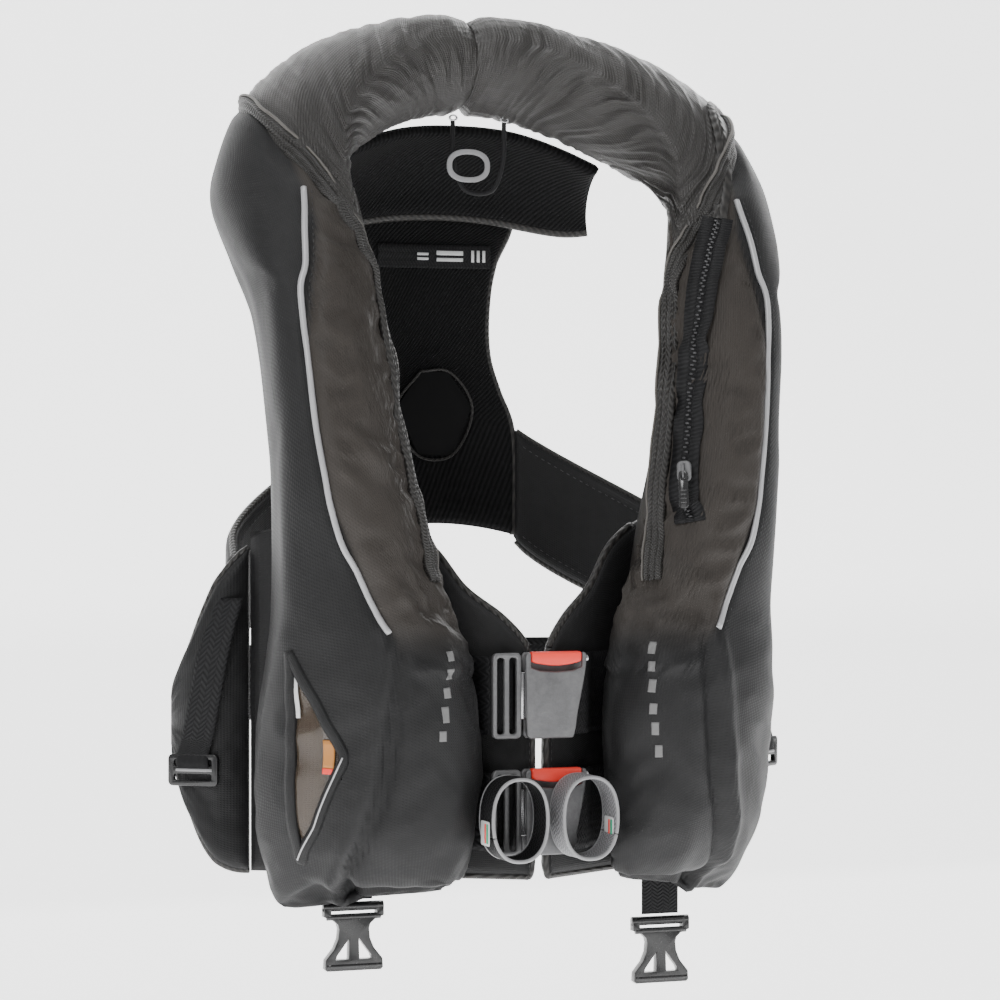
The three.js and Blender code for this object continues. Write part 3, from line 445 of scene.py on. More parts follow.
# Kind is its weave or mottle, depth the height of that in millimetres, tone its second colour.
def finish(name, colour, rough, kind=None, depth=0.3, tone=None, mapped="UV", rougher=0.0, **sockets):
    material = bpy.data.materials.new(name)
    material.use_nodes = True
    tree = material.node_tree
    shader = tree.nodes["Principled BSDF"]
    shader.inputs["Base Color"].default_value = (*colour, 1)
    shader.inputs["Roughness"].default_value = rough
    for key, value in sockets.items():
        shader.inputs[key.replace("_", " ")].default_value = value
    if kind:
        place = node(tree, "TexCoord")
        surface = tree.nodes.new("ShaderNodeGroup")
        surface.node_tree = effects[kind]
        tree.links.new(place.outputs[mapped], surface.inputs["Vector"])
        bump = node(tree, "Bump",
                    {"Height": surface.outputs["Height"], "Strength": 0.9, "Distance": depth * mm})
        tree.links.new(bump.outputs["Normal"], shader.inputs["Normal"])
        if tone:
            mix = node(tree, "Mix", {0: surface.outputs["Tone"], 6: (*colour, 1), 7: (*tone, 1)},
                       data_type="RGBA")
            tree.links.new(mix.outputs[2], shader.inputs["Base Color"])
        if rougher:
            way = node(tree, "Math", {0: surface.outputs["Tone"], 1: rougher, 2: rough},
                       operation="MULTIPLY_ADD")
            tree.links.new(way.outputs[0], shader.inputs["Roughness"])
    return material


finishes = {
    "satin": finish("satinNylon", (0.0095, 0.0085, 0.0078), 0.33, "plainWeave", 0.4,
                    (0.023, 0.0205, 0.0185),
                    rougher=0.16, Specular_IOR_Level=0.62, Sheen_Weight=0.02),
    "matte": finish("coatedNylon", (0.0085, 0.0085, 0.009), 0.5, "plainWeave", 0.16, (0.015, 0.015, 0.0155),
                    Specular_IOR_Level=0.22, Sheen_Weight=0.01),
    "mesh": finish("spacerMesh", (0.004, 0.004, 0.0042), 0.8, "spacerMesh", 0.6, (0.011, 0.011, 0.0115),
                   Specular_IOR_Level=0.12),
    "webbing": finish("blackWebbing", (0.006, 0.006, 0.0065), 0.62, "webbingWeave", 0.35,
                      (0.013, 0.013, 0.014), Specular_IOR_Level=0.2),
    "greyWebbing": finish("greyWebbing", (0.13, 0.13, 0.135), 0.7, "webbingWeave", 0.4, (0.28, 0.28, 0.29)),
    "rib": finish("ribbedBinding", (0.012, 0.0115, 0.011), 0.45, "webbingWeave", 0.4, (0.03, 0.028, 0.026),
                  Specular_IOR_Level=0.4),
    "edging": finish("warmGreyEdging", (0.075, 0.07, 0.064), 0.5, "mottle", 0.08, (0.14, 0.13, 0.12),
                     mapped="Object"),
    "print": finish("greyPrint", (0.12, 0.12, 0.12), 0.7, "mottle", 0.04, (0.24, 0.24, 0.24),
                    mapped="Object"),
    "zipMetal": finish("gunmetalZip", (0.05, 0.05, 0.052), 0.4, "mottle", 0.03, (0.14, 0.14, 0.145),
                       mapped="Object", Metallic=0.6),
    "thread": finish("blackThread", (0.02, 0.02, 0.021), 0.6, "mottle", 0.1, (0.05, 0.05, 0.052),
                     mapped="Object"),
    "metal": finish("satinSteel", (0.085, 0.085, 0.088), 0.42, "mottle", 0.4, (0.3, 0.3, 0.305),
                    mapped="Object", rougher=0.3, Metallic=0.55),
    "brightMetal": finish("polishedSteel", (0.5, 0.5, 0.51), 0.22, "mottle", 0.02, (0.7, 0.7, 0.71),
                          mapped="Object", Metallic=1.0),
    "plastic": finish("blackPlastic", (0.008, 0.008, 0.0085), 0.24, "mottle", 0.03, (0.016, 0.016, 0.0165),
                      mapped="Object", rougher=0.15, Coat_Weight=0.25),
    "greyPlastic": finish("greyPlastic", (0.22, 0.22, 0.225), 0.4, "mottle", 0.04, (0.34, 0.34, 0.35),
                          mapped="Object"),
    "red": finish("redPlastic", (0.82, 0.035, 0.022), 0.38, "mottle", 0.03, (0.95, 0.07, 0.04),
                  mapped="Object", rougher=0.2),
    "amber": finish("amberPlastic", (0.4, 0.16, 0.028), 0.4, "mottle", 0.03, (0.5, 0.21, 0.045),
                    mapped="Object"),
    "silver": finish("silverPiping", (0.36, 0.36, 0.37), 0.4, "mottle", 0.06, (0.5, 0.5, 0.51),
                     mapped="Object", Metallic=0.3),
    "label": finish("wovenLabel", (0.55, 0.56, 0.56), 0.7, "mottle", 0.06, (0.75, 0.75, 0.74),
                    mapped="Object"),
    "green": finish("greenLabel", (0.03, 0.3, 0.17), 0.6, "mottle", 0.06, (0.05, 0.42, 0.25),
                    mapped="Object"),
    "film": finish("clearFilm", (0.07, 0.052, 0.038), 0.16, "mottle", 0.25, (0.15, 0.115, 0.085),
                   mapped="Object",
                   Alpha=0.5, Coat_Weight=0.3),
    "bladder": finish("foldedBladder", (0.045, 0.035, 0.025), 0.5, "plainWeave", 0.3, (0.1, 0.08, 0.05)),
}


def panelAndSheenFront(name, area):                            # matte cloth whose colour turns to a lighter warm tone where area is 1: partly the crinkled panel's own colour, partly painted sheen
    material = finishes["matte"].copy()
    material.name = name
    tree = material.node_tree
    shader = tree.nodes["Principled BSDF"]
    plainTone = shader.inputs["Base Color"].links[0].from_socket
    share = node(tree, "Attribute", attribute_name=area)
    # the lighter warm tone: the panel's own warmer colour plus painted sheen
    mix = node(tree, "Mix", {0: share.outputs["Fac"], 6: plainTone, 7: (0.034, 0.0295, 0.026, 1)},
               data_type="RGBA")
    tree.links.new(mix.outputs[2], shader.inputs["Base Color"])
    return material


finishes["lobe"] = panelAndSheenFront("lobeNylon", "crinkledPanelAndSheen")
print("materials", len(finishes))


# Gives a piece its body or two bodies, and hides the nodes it stands for.
def dressed(piece, body=None, blended=None, stands=()):
    if blended:
        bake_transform(piece, "root", blended, start=(0, 0, 0.03), end=(0, 0, -0.10))
    else:
        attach(piece, body)
    if stands:
        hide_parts(*stands)
    return piece


hangingCord = {"y": 95.2, "top": 54.8, "ends": (-8, 28), "drop": 46, "diameter": 3.0}
hangY, hangTop, hangX, hangDrop, hangThick = hangingCord.values()
hangPath = [(hangX[0], hangTop), (hangX[0] + 1, hangTop - hangDrop * 0.6),
            (hangX[0] + 9, hangTop - hangDrop),
            (hangX[1] - 9, hangTop - hangDrop), (hangX[1] - 1, hangTop - hangDrop * 0.6),
            (hangX[1], hangTop)]
hangLine = [np.array((x, hangY, z)) for x, z in hangPath]
hangCurve = [curvePoint(hangLine, i / 60) * mm for i in range(61)]
cordData = bpy.data.curves.new("hanging_cord", "CURVE")
cordData.dimensions, cordData.bevel_depth, cordData.bevel_resolution = "3D", hangThick / 2 * mm, 3
cordData.use_fill_caps = True
run = cordData.splines.new("POLY")
run.points.add(60)
for p, at in zip(run.points, hangCurve):
    p.co = (*at, 1)
cordData.materials.append(finishes["webbing"])
hangCord = bpy.data.objects.new("hanging_cord", cordData)
scene.collection.objects.link(hangCord)
dressed(hangCord, "nape_loop", stands=["hanging_loop"])
tagRing = plate("oval_ring_tag", [ellipse(30, 22, (0, 0), 48, 0.85), ellipse(23, 15, (0, 0), 48, 0.85)],
                2.2,
                (2, hangY - 2.8, 24.8), (1, 0, 0), (0, 0, 1), finishes["greyPlastic"], 0.7, 3)
dressed(tagRing, "nape_loop", stands=["oval_tag"])

sides = (("right", -1), ("left", 1))
fronts = {-1: "front_right", 1: "front_left"}

# The seam between collar and lobe: [angle, station]. It drops to the inner edge at the front.
shoulderSeam = [(-180, 3.6), (-90, 3.1), (-20, 2.75), (20, 2.8), (60, 3.0), (100, 3.45), (132, 4.0),
                (154, 4.9), (180, 5.6), (195, 4.9), (240, 3.9), (270, 3.1), (340, 2.75), (360, 2.78)]
pipingSeam = [(24, 127), (60, 108), (95, 94), (150, 92), (200, 95), (240, 107), (277, 118)]
foldSeam = [(262, 128), (290, 118), (324, 110), (375, 104), (410, 92), (438, 78)]
cover = {"collarSteps": (44, 52), "lobeSteps": (88, 56), "pressure": 3.0, "fill": 0.7,
         "collarGrowth": 0.05, "collarCap": 5.0, "lobeGrowth": 0.03, "lobeCap": 4.5}
slack = 3.2      # the covers start this much inside the frame's skin and swell out to it


def seamStation(angle):
    return between(angle % 360, [p for p in shoulderSeam if p[0] >= 0])


def collarPoint(side):
    def at(u, w):
        angle = 360 * w
        k = 0.03 + (seamStation(angle) - 0.03) * u
        return skin(side * k, angle, -slack - 5 * (1 - rise(u / 0.06)) - 3.5 * rise((u - 0.93) / 0.07))
    return at


def lobePoint(side):
    def at(u, w):
        angle = 360 * w
        k = seamStation(angle) + (hem - 0.02 - seamStation(angle)) * u
        return skin(side * k, angle, -slack - 3 * (1 - rise(u / 0.03)))
    return at


puckers = {"gather": 2.1, "fine": 0.7, "seam": 0.5, "cross": 0.3, "sink": 1.0}   # heights in millimetres
folds = {"groove": 2.6, "crinkle": 3.6, "fine": 1.5, "ridge": 5.2, "valley": 5.6, "flap": 1.8, "broad": 2.6,
         "low": 1.3, "sink": 0.6}


def collarRelief(side):
    def at(u, w, _):
        angle = 360 * w
        seam = 3.4 * u
        length = 190 * u
        inner = rise(1 - abs(angle - 196) / 75)           # gathers out from the neck seam
        outer = rise(1 - abs(angle - 348) / 60)
        ends = rise(1 - u / 0.3) * 0.8 + rise((u - 0.72) / 0.28)
        length += 6 * ripple(u * 3, angle / 60, 17 + side)
        gather = crease(length / 10.5, angle / 90, 3 + side)
        fine = crease(length / 4.6, angle / 70, 9 + side)
        cross = crease(length / 40, angle / 11, 5 + side)
        seamFold = crease(seam * 2.4, angle / 26, 14 + side)
        return (puckers["gather"] * gather * (0.4 + 1.0 * inner + 0.5 * outer)
                + puckers["fine"] * fine * (0.3 + inner)
                + puckers["seam"] * seamFold * ends + puckers["cross"] * cross - puckers["sink"])
    return at


def lobeRelief(side):
    def at(u, w, place):
        angle = 360 * w
        drop = -place.z
        piping = between(drop, pipingSeam)
        value = 0.0
        if 30 < angle < 200 and 10 < drop < 300:
            away = (angle - piping) * 0.85               # millimetres from the piping
            groove = math.exp(-(away / 3.0) ** 2) * rise((drop - 20) / 20) * rise((285 - drop) / 20)
            value -= folds["groove"] * groove
            if away > 0:
                crinkle = crease(drop / 15, angle / 38, 21 + side)
                value += folds["crinkle"] * crinkle * rise(away / 12)
                value += folds["fine"] * crease(drop / 6, angle / 14, 31) * rise((angle - 150) / 30)
        if drop > 240 and 30 < angle < 200:
            away = (angle - between(drop, foldSeam)) * 1.05
            value += folds["ridge"] * math.exp(-((away + 7) / 6) ** 2) * rise((drop - 250) / 40)
            value -= folds["valley"] * math.exp(-((away - 2.5) / 4.4) ** 2) * rise((drop - 250) / 40)
            flap = crease((drop + 0.8 * angle) / 22, angle / 55, 61)
            value += folds["flap"] * flap * rise((angle - 105) / 20)
        value += folds["broad"] * ripple(drop / 60, angle / 40, 41 + side)
        foot = crease(drop / 26 + angle / 60, angle / 30, 51 + side)
        value += folds["low"] * foot * rise((drop - 230) / 90)
        return value - folds["sink"]
    return at


covers = {}
for name, side in sides:
    collar = tube(f"{name}_collar", collarPoint(side), *cover["collarSteps"], finishes["satin"],
                  (200, 230), keep=True)
    plump(collar, cover["pressure"], cover["collarGrowth"], cover["collarCap"])
    subdivided(collar, 2)
    pushed(collar, collarRelief(side))
    lobe = tube(f"{name}_lobe", lobePoint(side), *cover["lobeSteps"], finishes["lobe"], (480, 300),
                keep=True)
    plump(lobe, cover["pressure"], cover["lobeGrowth"], cover["lobeCap"])
    subdivided(lobe, 1)
    pushed(lobe, lobeRelief(side))
    shape = bmesh.new()
    shape.from_mesh(collar.data)
    shape.from_mesh(lobe.data)
    covers[side] = BVHTree.FromBMesh(shape)
    shape.free()
    turns = np.zeros(len(lobe.data.vertices), np.float32)
    lobe.data.attributes["round"].data.foreach_get("value", turns)
    # where the crinkled panel lies between the piping and the inner edge; its lighter colour there is partly
    # painted sheen
    share = [rise((360 * turn - between(-v.co.z / mm, pipingSeam)) / 3) * rise((235 - 360 * turn) / 30)
             * rise((292 + v.co.z / mm) / 30) for v, turn in zip(lobe.data.vertices, turns)]
    lobe.data.attributes.new("crinkledPanelAndSheen", "FLOAT", "POINT")
    lobe.data.attributes["crinkledPanelAndSheen"].data.foreach_set("value", np.array(share, np.float32))
    dressed(collar, blended=fronts[side],
            stands=[f"{name}_collar_cover"] + (["collar_lining"] if side < 0 else []))
    dressed(lobe, blended=fronts[side],
            stands=[f"{name}_lobe_front_cover", f"{name}_lobe_back_cover"])
print("collar and lobes")

# A point on the finished covers, lifted off them, and their outward direction there.
def resting(side, k, angle, lift=0.0):
    centre = frameAt(side * k)[0]
    start = skin(side * k, angle, 40)
    way = Vector(centre - start).normalized()
    hit, normal, _, _ = covers[side].ray_cast(Vector(start) * mm, way)
    if hit is None:
        return skin(side * k, angle, lift), np.array(-way)
    normal = normal if normal.dot(way) < 0 else -normal
    return np.array(hit) / mm + lift * np.array(normal), np.array(normal)


# Points and outward directions along (station, angle) spots.
def seamLine(side, spots, count, lift=0.0):
    spots = [np.array([k, a, 0.0]) for k, a in spots]
    found = [resting(side, *curvePoint(spots, i / (count - 1))[:2], lift) for i in range(count)]
    points, normals = (np.array(x) for x in zip(*found))
    for _ in range(2):
        normals[1:-1] = normals[:-2] + normals[1:-1] + normals[2:]
        points[1:-1] = (points[:-2] + 2 * points[1:-1] + points[2:]) / 4
    return points, normals / np.linalg.norm(normals, axis=1, keepdims=True)


# Sweeps a closed profile of (across, height) along the seam.
def seamTape(name, points, normals, profile, material, size=(300, 20)):
    profile = np.array(profile + profile[:1], float)

    def at(u, w):
        p, n = (curvePoint(x, u) for x in (points, normals))
        way = curvePoint(points, min(u + 1e-3, 1)) - curvePoint(points, max(u - 1e-3, 0))
        side = np.cross(n, way)
        side /= max(np.linalg.norm(side), 1e-9)
        across, high = (np.interp(w * (len(profile) - 1), range(len(profile)),
                                  profile[:, i]) for i in (0, 1))
        return p + side * across + n * high / max(np.linalg.norm(n), 1e-9)
    return tube(name, at, len(points) - 1, len(profile) - 1, material, size)


# The section of a tape with rounded ridges on its upper face.
def bandProfile(width, ridges, low=-0.8, high=1.6):
    count = ridges * 6
    top = []
    for i in range(count + 1):
        ridge = 0.45 + 0.55 * abs(math.sin(math.pi * ridges * i / count))
        top.append((width * (i / count - 0.5), high * ridge * min(1, 8 * min(i, count - i) / count + 0.2)))
    return top + [(width / 2, low), (0, low), (-width / 2, low)]


bindingPath = [(2.78, -14), (2.8, 20), (3.0, 60), (3.45, 100), (4.0, 132), (4.45, 144), (4.95, 154),
               (5.6, 176),
               (6.3, 184), (7.1, 180), (7.64, 172), (7.95, 166)]
bindingTape = {"width": 13, "ridges": 3, "low": -2.4, "high": 2.2}
bindingEdge = {"width": 1.8, "height": 2.6, "aside": 6.9, "lift": 0.4}
pipingCord = {"width": 4.0, "height": 3.6, "lift": 0.2, "stitchesAside": 5}
for name, side in sides:
    points, normals = seamLine(side, bindingPath, 110, 1.2)
    binding = seamTape(f"{name}_binding", points, normals, bandProfile(**bindingTape), finishes["rib"],
                       (430, 24))
    dressed(binding, blended=fronts[side])
    line = seamTape(f"{name}_binding_edge", points, normals,
                    ellipse(bindingEdge["width"], bindingEdge["height"],
                            (-side * bindingEdge["aside"], bindingEdge["lift"]), 10), finishes["edging"],
                    (430, 8))
    dressed(line, blended=fronts[side])
    ridge = np.cross(normals, np.gradient(points, axis=0))
    ridge /= np.linalg.norm(ridge, axis=1, keepdims=True)
    rows = [stitched("row", list(points + ridge * off + normals * 2.0), list(normals), finishes["thread"],
                     2.6, 4.2, 0.8, 0.7) for off in (-4.4, 0, 4.4)]
    dressed(joined(f"{name}_binding_stitches", rows), blended=fronts[side])

    spots = [(stationAt(-drop), angle) for drop, angle in pipingSeam]
    points, normals = seamLine(side, spots, 70, 0.6)
    piping = seamTape(f"{name}_reflective_piping", points, normals,
                      ellipse(pipingCord["width"], pipingCord["height"], (0, pipingCord["lift"]), 10),
                      finishes["silver"])
    dressed(piping, blended=fronts[side], stands=[f"{name}_piping"])
    edge = np.cross(normals, np.gradient(points, axis=0))
    edge /= np.linalg.norm(edge, axis=1, keepdims=True)
    row = stitched(f"{name}_piping_stitches",
                   list(points + edge * pipingCord["stitchesAside"] - normals * 0.2), list(normals),
                   finishes["thread"], 2.6, 4.4, 0.6, 0.5)
    dressed(row, blended=fronts[side])

zipTooth = {"count": 84, "length": 1.2, "width": 2.3, "height": 1.2, "aside": 0.7, "lift": 1.0,
            "bevel": 0.28}
zipSeam = [(36, 144), (60, 150), (91, 154), (130, 158), (170, 157), (212, 146)]
zipSpots = [(stationAt(-drop), angle) for drop, angle in zipSeam]
points, normals = seamLine(1, zipSpots, 64, 1.2)
tapeProfile = [(-10, 0), (-10, 0.9), (-3, 1.0), (-2.4, 0.5), (2.4, 0.5), (3, 1.0), (10, 0.9), (10, 0), (0, -0.3)]
tape = seamTape("zip_tape_pair", points, normals, tapeProfile, finishes["webbing"], (190, 22))
dressed(tape, blended="front_left", stands=["zip_tape"])
garage = seamLine(1, [(3.0, 86), (3.12, 104), (3.34, 126), zipSpots[0]], 24, 0.9)
garageProfile = [(-6, -0.5), (-6, 0.6), (-1.2, 1.5), (0, 0.9), (1.2, 1.5), (6, 0.6), (6, -0.5), (0, -0.8)]
garage = seamTape("zip_garage", *garage, garageProfile, finishes["rib"], (60, 14))
dressed(garage, blended="front_left")
mesh = bmesh.new()
count = zipTooth["count"]
toothShape = Matrix.Diagonal((zipTooth["length"], zipTooth["width"], zipTooth["height"], 1))
for i in range(count):
    u = 0.02 + 0.96 * i / (count - 1)
    p, n = curvePoint(points, u), Vector(curvePoint(normals, u)).normalized()
    way = Vector(curvePoint(points, min(1, u + 0.01)) - curvePoint(points, max(0, u - 0.01))).normalized()
    across = n.cross(way).normalized()
    basis = Matrix((way, across, n)).transposed().to_4x4()
    basis.translation = Vector(p) + across * zipTooth["aside"] * (1 if i % 2 else -1) + n * zipTooth["lift"]
    tooth = bmesh.ops.create_cube(mesh, size=1)["verts"]
    bmesh.ops.transform(mesh, matrix=Matrix.Scale(mm, 4) @ basis @ toothShape, verts=tooth)
bmesh.ops.bevel(mesh, geom=mesh.edges[:], offset=zipTooth["bevel"] * mm, segments=1, profile=0.5,
                affect="EDGES", material=-1)
teeth = finished("zip_chain", mesh, finishes["zipMetal"])
dressed(teeth, blended="front_left", stands=["zip_teeth"])
zipOut, zipRight = (Vector(v) for v in ((-0.584, -0.803, 0.12), (0.811, -0.581, 0.063)))
zipUp = zipOut.cross(zipRight)
sliderAt = Vector((89.35, -64.58, -176.56))
body = plate("body", [rounded(9, 13, 3)], 3.2, sliderAt, zipRight, zipUp, finishes["metal"], 0.9, 3)
bridge = rod("bridge", [sliderAt + zipOut * h + zipUp * y for y,
                        h in ((4.5, 1.2), (3.6, 3.2), (0, 3.6), (-3.6, 3.2), (-4.5, 1.2))],
             0.9, finishes["metal"])
dressed(joined("zip_slider_body", [body, bridge]), "zip_runner", stands=["zip_slider"])
pullAt = Vector((87.02, -69.08, -188.01))
pull = plate("tab", [rounded(6, 24, 2.6), ellipse(2.6, 5, (0, 8.4), 16)], 1.8, pullAt, zipRight, zipUp,
             finishes["plastic"], 0.5)
grips = [rod("grip", [pullAt + zipUp * y + zipOut * 1.0 - zipRight * 2,
                      pullAt + zipUp * y + zipOut * 1.0 + zipRight * 2],
             0.45, finishes["plastic"], 6) for y in (-8, -5.5, -3, -0.5)]
dressed(joined("zip_pull_tab", [pull] + grips), "zip_tab", stands=["zip_pull"])
print("seams")

def patch(name, side, k0, k1, a0, a1, material, lift=0.25, thick=0.5, steps=6):
    middle = lambda u, w: resting(side, k0 + (k1 - k0) * u, a0 + (a1 - a0) * w, lift)[0]
    return pad(name, middle, steps, steps, (20, 10), thick, material, rim=thick, soft=0)


bars = {-1: [(8.52, 150.5, 0.1), (8.66, 149, 0.1), (8.8, 146.5, 0.1), (8.94, 144, 0.14),
             (9.12, 141.5, 0.1)],
        1: [(8.48, 156, 0.12), (8.64, 154.5, 0.1), (8.78, 153, 0.12), (8.96, 151, 0.1),
            (9.1, 149.5, 0.12), (9.28, 147.5, 0.12)]}
for name, side in sides:
    made = [patch("bar", side, k + 0.01, k + size - 0.01, a - 2.3, a + 2.3, finishes["print"], 0.15,
                  0.3) for k, a, size in bars[side]]
    dressed(joined(f"{name}_printed_bars", made), body=fronts[side])
tag = patch("zip_end_tag", 1, 3.16, 3.3, 44, 51, finishes["label"], 0.8)
dressed(tag, blended="front_left")

inspection = {"corners": ((281, 57), (349, 88), (410, 55)), "sink": 1.9, "grow": 1.16, "rim": 7,
              "bend": 0.55}
windowCorners = [np.array((stationAt(-drop), angle)) for drop, angle in inspection["corners"]]


# u runs from the top corner down the left edge, w across to the right corner.
def inWindow(u, w):
    left = windowCorners[0] + (windowCorners[2] - windowCorners[0]) * u
    bend = inspection["bend"]
    reach = 1 - abs(2 * u - 2 * bend) / (2 * bend if u < bend else 2 - 2 * bend)
    level = windowCorners[0] + (windowCorners[2] - windowCorners[0]) * bend
    right = left + (windowCorners[1] - level) * max(reach, 0)
    return left + (right - left) * w


lobe = bpy.data.objects["right_lobe"]
cut = bmesh.new()
cut.from_mesh(lobe.data)
edge0, edge1 = windowCorners[0] - windowCorners[2], windowCorners[1] - windowCorners[2]
area = edge0[0] * edge1[1] - edge0[1] * edge1[0]
roundLayer = cut.verts.layers.float["round"]
doomed = []
for face in cut.faces:
    centre = face.calc_center_median() / mm
    if centre.z > -270 or centre.z < -420:
        continue
    angle = 360 * sum(v[roundLayer] for v in face.verts) / len(face.verts)
    if not 40 < angle < 100:
        continue
    at = np.array((stationAt(centre.z), angle)) - windowCorners[2]
    s = (at[0] * edge1[1] - at[1] * edge1[0]) / area
    t = (edge0[0] * at[1] - edge0[1] * at[0]) / area
    if s > -0.045 and t > 0.07 and s + t < 1.0:
        doomed.append(face)
bmesh.ops.delete(cut, geom=doomed, context="FACES")
cut.to_mesh(lobe.data)
cut.free()
heart = sum(windowCorners) / 3
filmAt = lambda u, w: resting(-1, *(heart + (inWindow(u, w) - heart) * inspection["grow"]),
                              -inspection["sink"])[0]
film = pad("window_film", lambda u, w: filmAt(u, w) + 1.0 * ripple(u * 5, w * 3, 7), 40, 16, (130, 30),
           0.5, finishes["film"],
           rim=0.5, soft=0)
dressed(film, "front_right", stands=["inflator_window"])
loop = []
for a, b in ((0, 1), (1, 2), (2, 0)):
    loop += [tuple(windowCorners[a] + (windowCorners[b] - windowCorners[a]) * i / 8) for i in range(8)]
points, normals = seamLine(-1, loop + loop[:1], 90, 0.3)
rim = seamTape("window_rim", points, normals, bandProfile(inspection["rim"], 1, -2.6, 1.5),
               finishes["matte"], (340, 14))
dressed(rim, "front_right", stands=["window_binding"])
lowerEdge = windowCorners[2] - windowCorners[1]
bright = [tuple(windowCorners[1] + lowerEdge * i / 8 + np.array((0, 0.6))) for i in range(9)]
points, normals = seamLine(-1, bright, 40, 1.1)
dressed(seamTape("window_bright_edge", points, normals, ellipse(1.3, 1.2, (-1.5, 0.3), 8),
                 finishes["silver"]),
        "front_right")
strip = patch("window_strip", -1, windowCorners[0][0] + 0.22, windowCorners[0][0] + 0.62, 59.5, 62,
              finishes["label"], -0.4, 0.8)
dressed(strip, "front_right")
amber = patch("window_indicator", -1, windowCorners[1][0] - 0.15, windowCorners[1][0] + 0.11, 75.5, 82,
              finishes["amber"], -0.9, 1.6)
edgeRed = patch("window_indicator_edge", -1, windowCorners[1][0] + 0.1, windowCorners[1][0] + 0.15, 75.5,
                82, finishes["red"], -0.5, 1.4)
dressed(amber, "front_right")
dressed(edgeRed, "front_right")
print("window")

pleats = {"count": 9, "inset": 14, "collar": 3.2, "lobe": 2.2, "rough": 1.2}


def folded(name, k0, k1, body, node):
    def at(u, w):
        angle = 360 * w
        pleat = pleats["collar"] * math.sin(pleats["count"] * math.radians(angle) + 3 * u)
        pleat += pleats["rough"] * ripple(u * 30, angle / 40, 3)
        return skin(k0 + (k1 - k0) * u, angle, pleat - pleats["inset"])
    dressed(tube(name, at, 60, 72, finishes["bladder"], (300, 200)), body, stands=[node])


folded("folded_collar_bladder", -3.0, 3.0, "root", "collar_bladder")


def bayBladder(name, side, node):
    def at(u, w):
        k, angle = 6.35 + 3.85 * u, 360 * w
        pleat = pleats["lobe"] * math.sin(pleats["count"] * math.radians(angle) + 3 * u)
        centre, across, out, (half, front, rear) = frameAt(side * k)
        a = math.radians(angle)
        front = front - 14 + (2 - front + 14) * rise(k - 5.9)
        deep = front - 1 if math.sin(a) > 0 else rear - 9
        return centre + across * (half - 12 + pleat) * math.cos(a) + out * deep * math.sin(a)
    dressed(tube(name, at, 60, 72, finishes["bladder"], (300, 200)), fronts[side],
            stands=[node])


for name, side in sides:
    bayBladder(f"folded_{name}_bladder", side, f"{name}_lobe_bladder")

panelOut = np.array((0.5, -0.866, 0))
panelAcross = np.array((0.866, 0.5, 0))
panelRoot = np.array((90.3, 5.46, 0))
closing = -99.1
panelTop = [(closing, -300), (closing + 4, -284), (closing + 18, -268), (closing + 42, -250),
            (closing + 66, -222),
            (10, -205), (80, -215)]
panelHem = -428
vestPad = {"thick": 8, "rim": 3, "soft": 7, "welt": 2.3, "fill": 0.4}


def panelPoint(side, t, z, out=0.0):
    p = panelRoot + panelAcross * t + panelOut * out
    return np.array((side * p[0], p[1], z))


for name, side in sides:
    top = [np.array((t, z, 0.0)) for t, z in panelTop]

    def onPanel(u, w, out=0.0):
        edge = curvePoint(top, u)
        bottom = panelHem + 8 * max(0, 1 - 10 * u) ** 2
        return panelPoint(side, edge[0], edge[1] + (bottom - edge[1]) * w, out)
    panel = pad(f"{name}_vest_pad", onPanel, 60, 56, (180, 200), vestPad["thick"], finishes["matte"],
                rim=vestPad["rim"], soft=vestPad["soft"],
                relief=lambda u, w: 0.7 * ripple(u * 7, w * 6, 3 + side) + 0.3 * ripple(u * 22, w * 18, 8))
    dressed(panel, fronts[side], stands=[f"{name}_vest_panel"])
    border = [onPanel(u, 0.0, 0.5) for u in np.linspace(0.75, 0, 26)]
    border += [onPanel(0.0, w, 0.5) for w in np.linspace(0.05, 1, 14)]
    border += [onPanel(u, 1.0, 0.5) for u in np.linspace(0.04, 0.9, 14)]
    welt = rod(f"{name}_vest_welt", border, vestPad["welt"], finishes["rib"], 8, 150)
    dressed(welt, fronts[side])
    line = [onPanel(0.045, w, 4.3) for w in np.linspace(0.02, 0.97, 40)]
    outwards = [np.array((side * 0.5, -0.866, 0))] * 40
    dressed(stitched(f"{name}_vest_stitches", line, outwards, finishes["thread"], 3, 5),
            fronts[side])
print("vest")

frontBelt = {"upper": -315, "lower": -387, "y": -53.0, "rightWidth": 48, "leftWidth": 50}
upper, lower, buckleY = (frontBelt[key] for key in ("upper", "lower", "y"))
east, high = (1, 0, 0), (0, 0, 1)
upright = lambda u: np.array(high, float)


def curveOf(points):
    points = [np.array(p, float) for p in points]
    return lambda u: curvePoint(points, u)


def lyingAt(side, x, z, off=5.6):
    return panelPoint(side, (x - panelRoot[0]) / panelAcross[0], z, off)


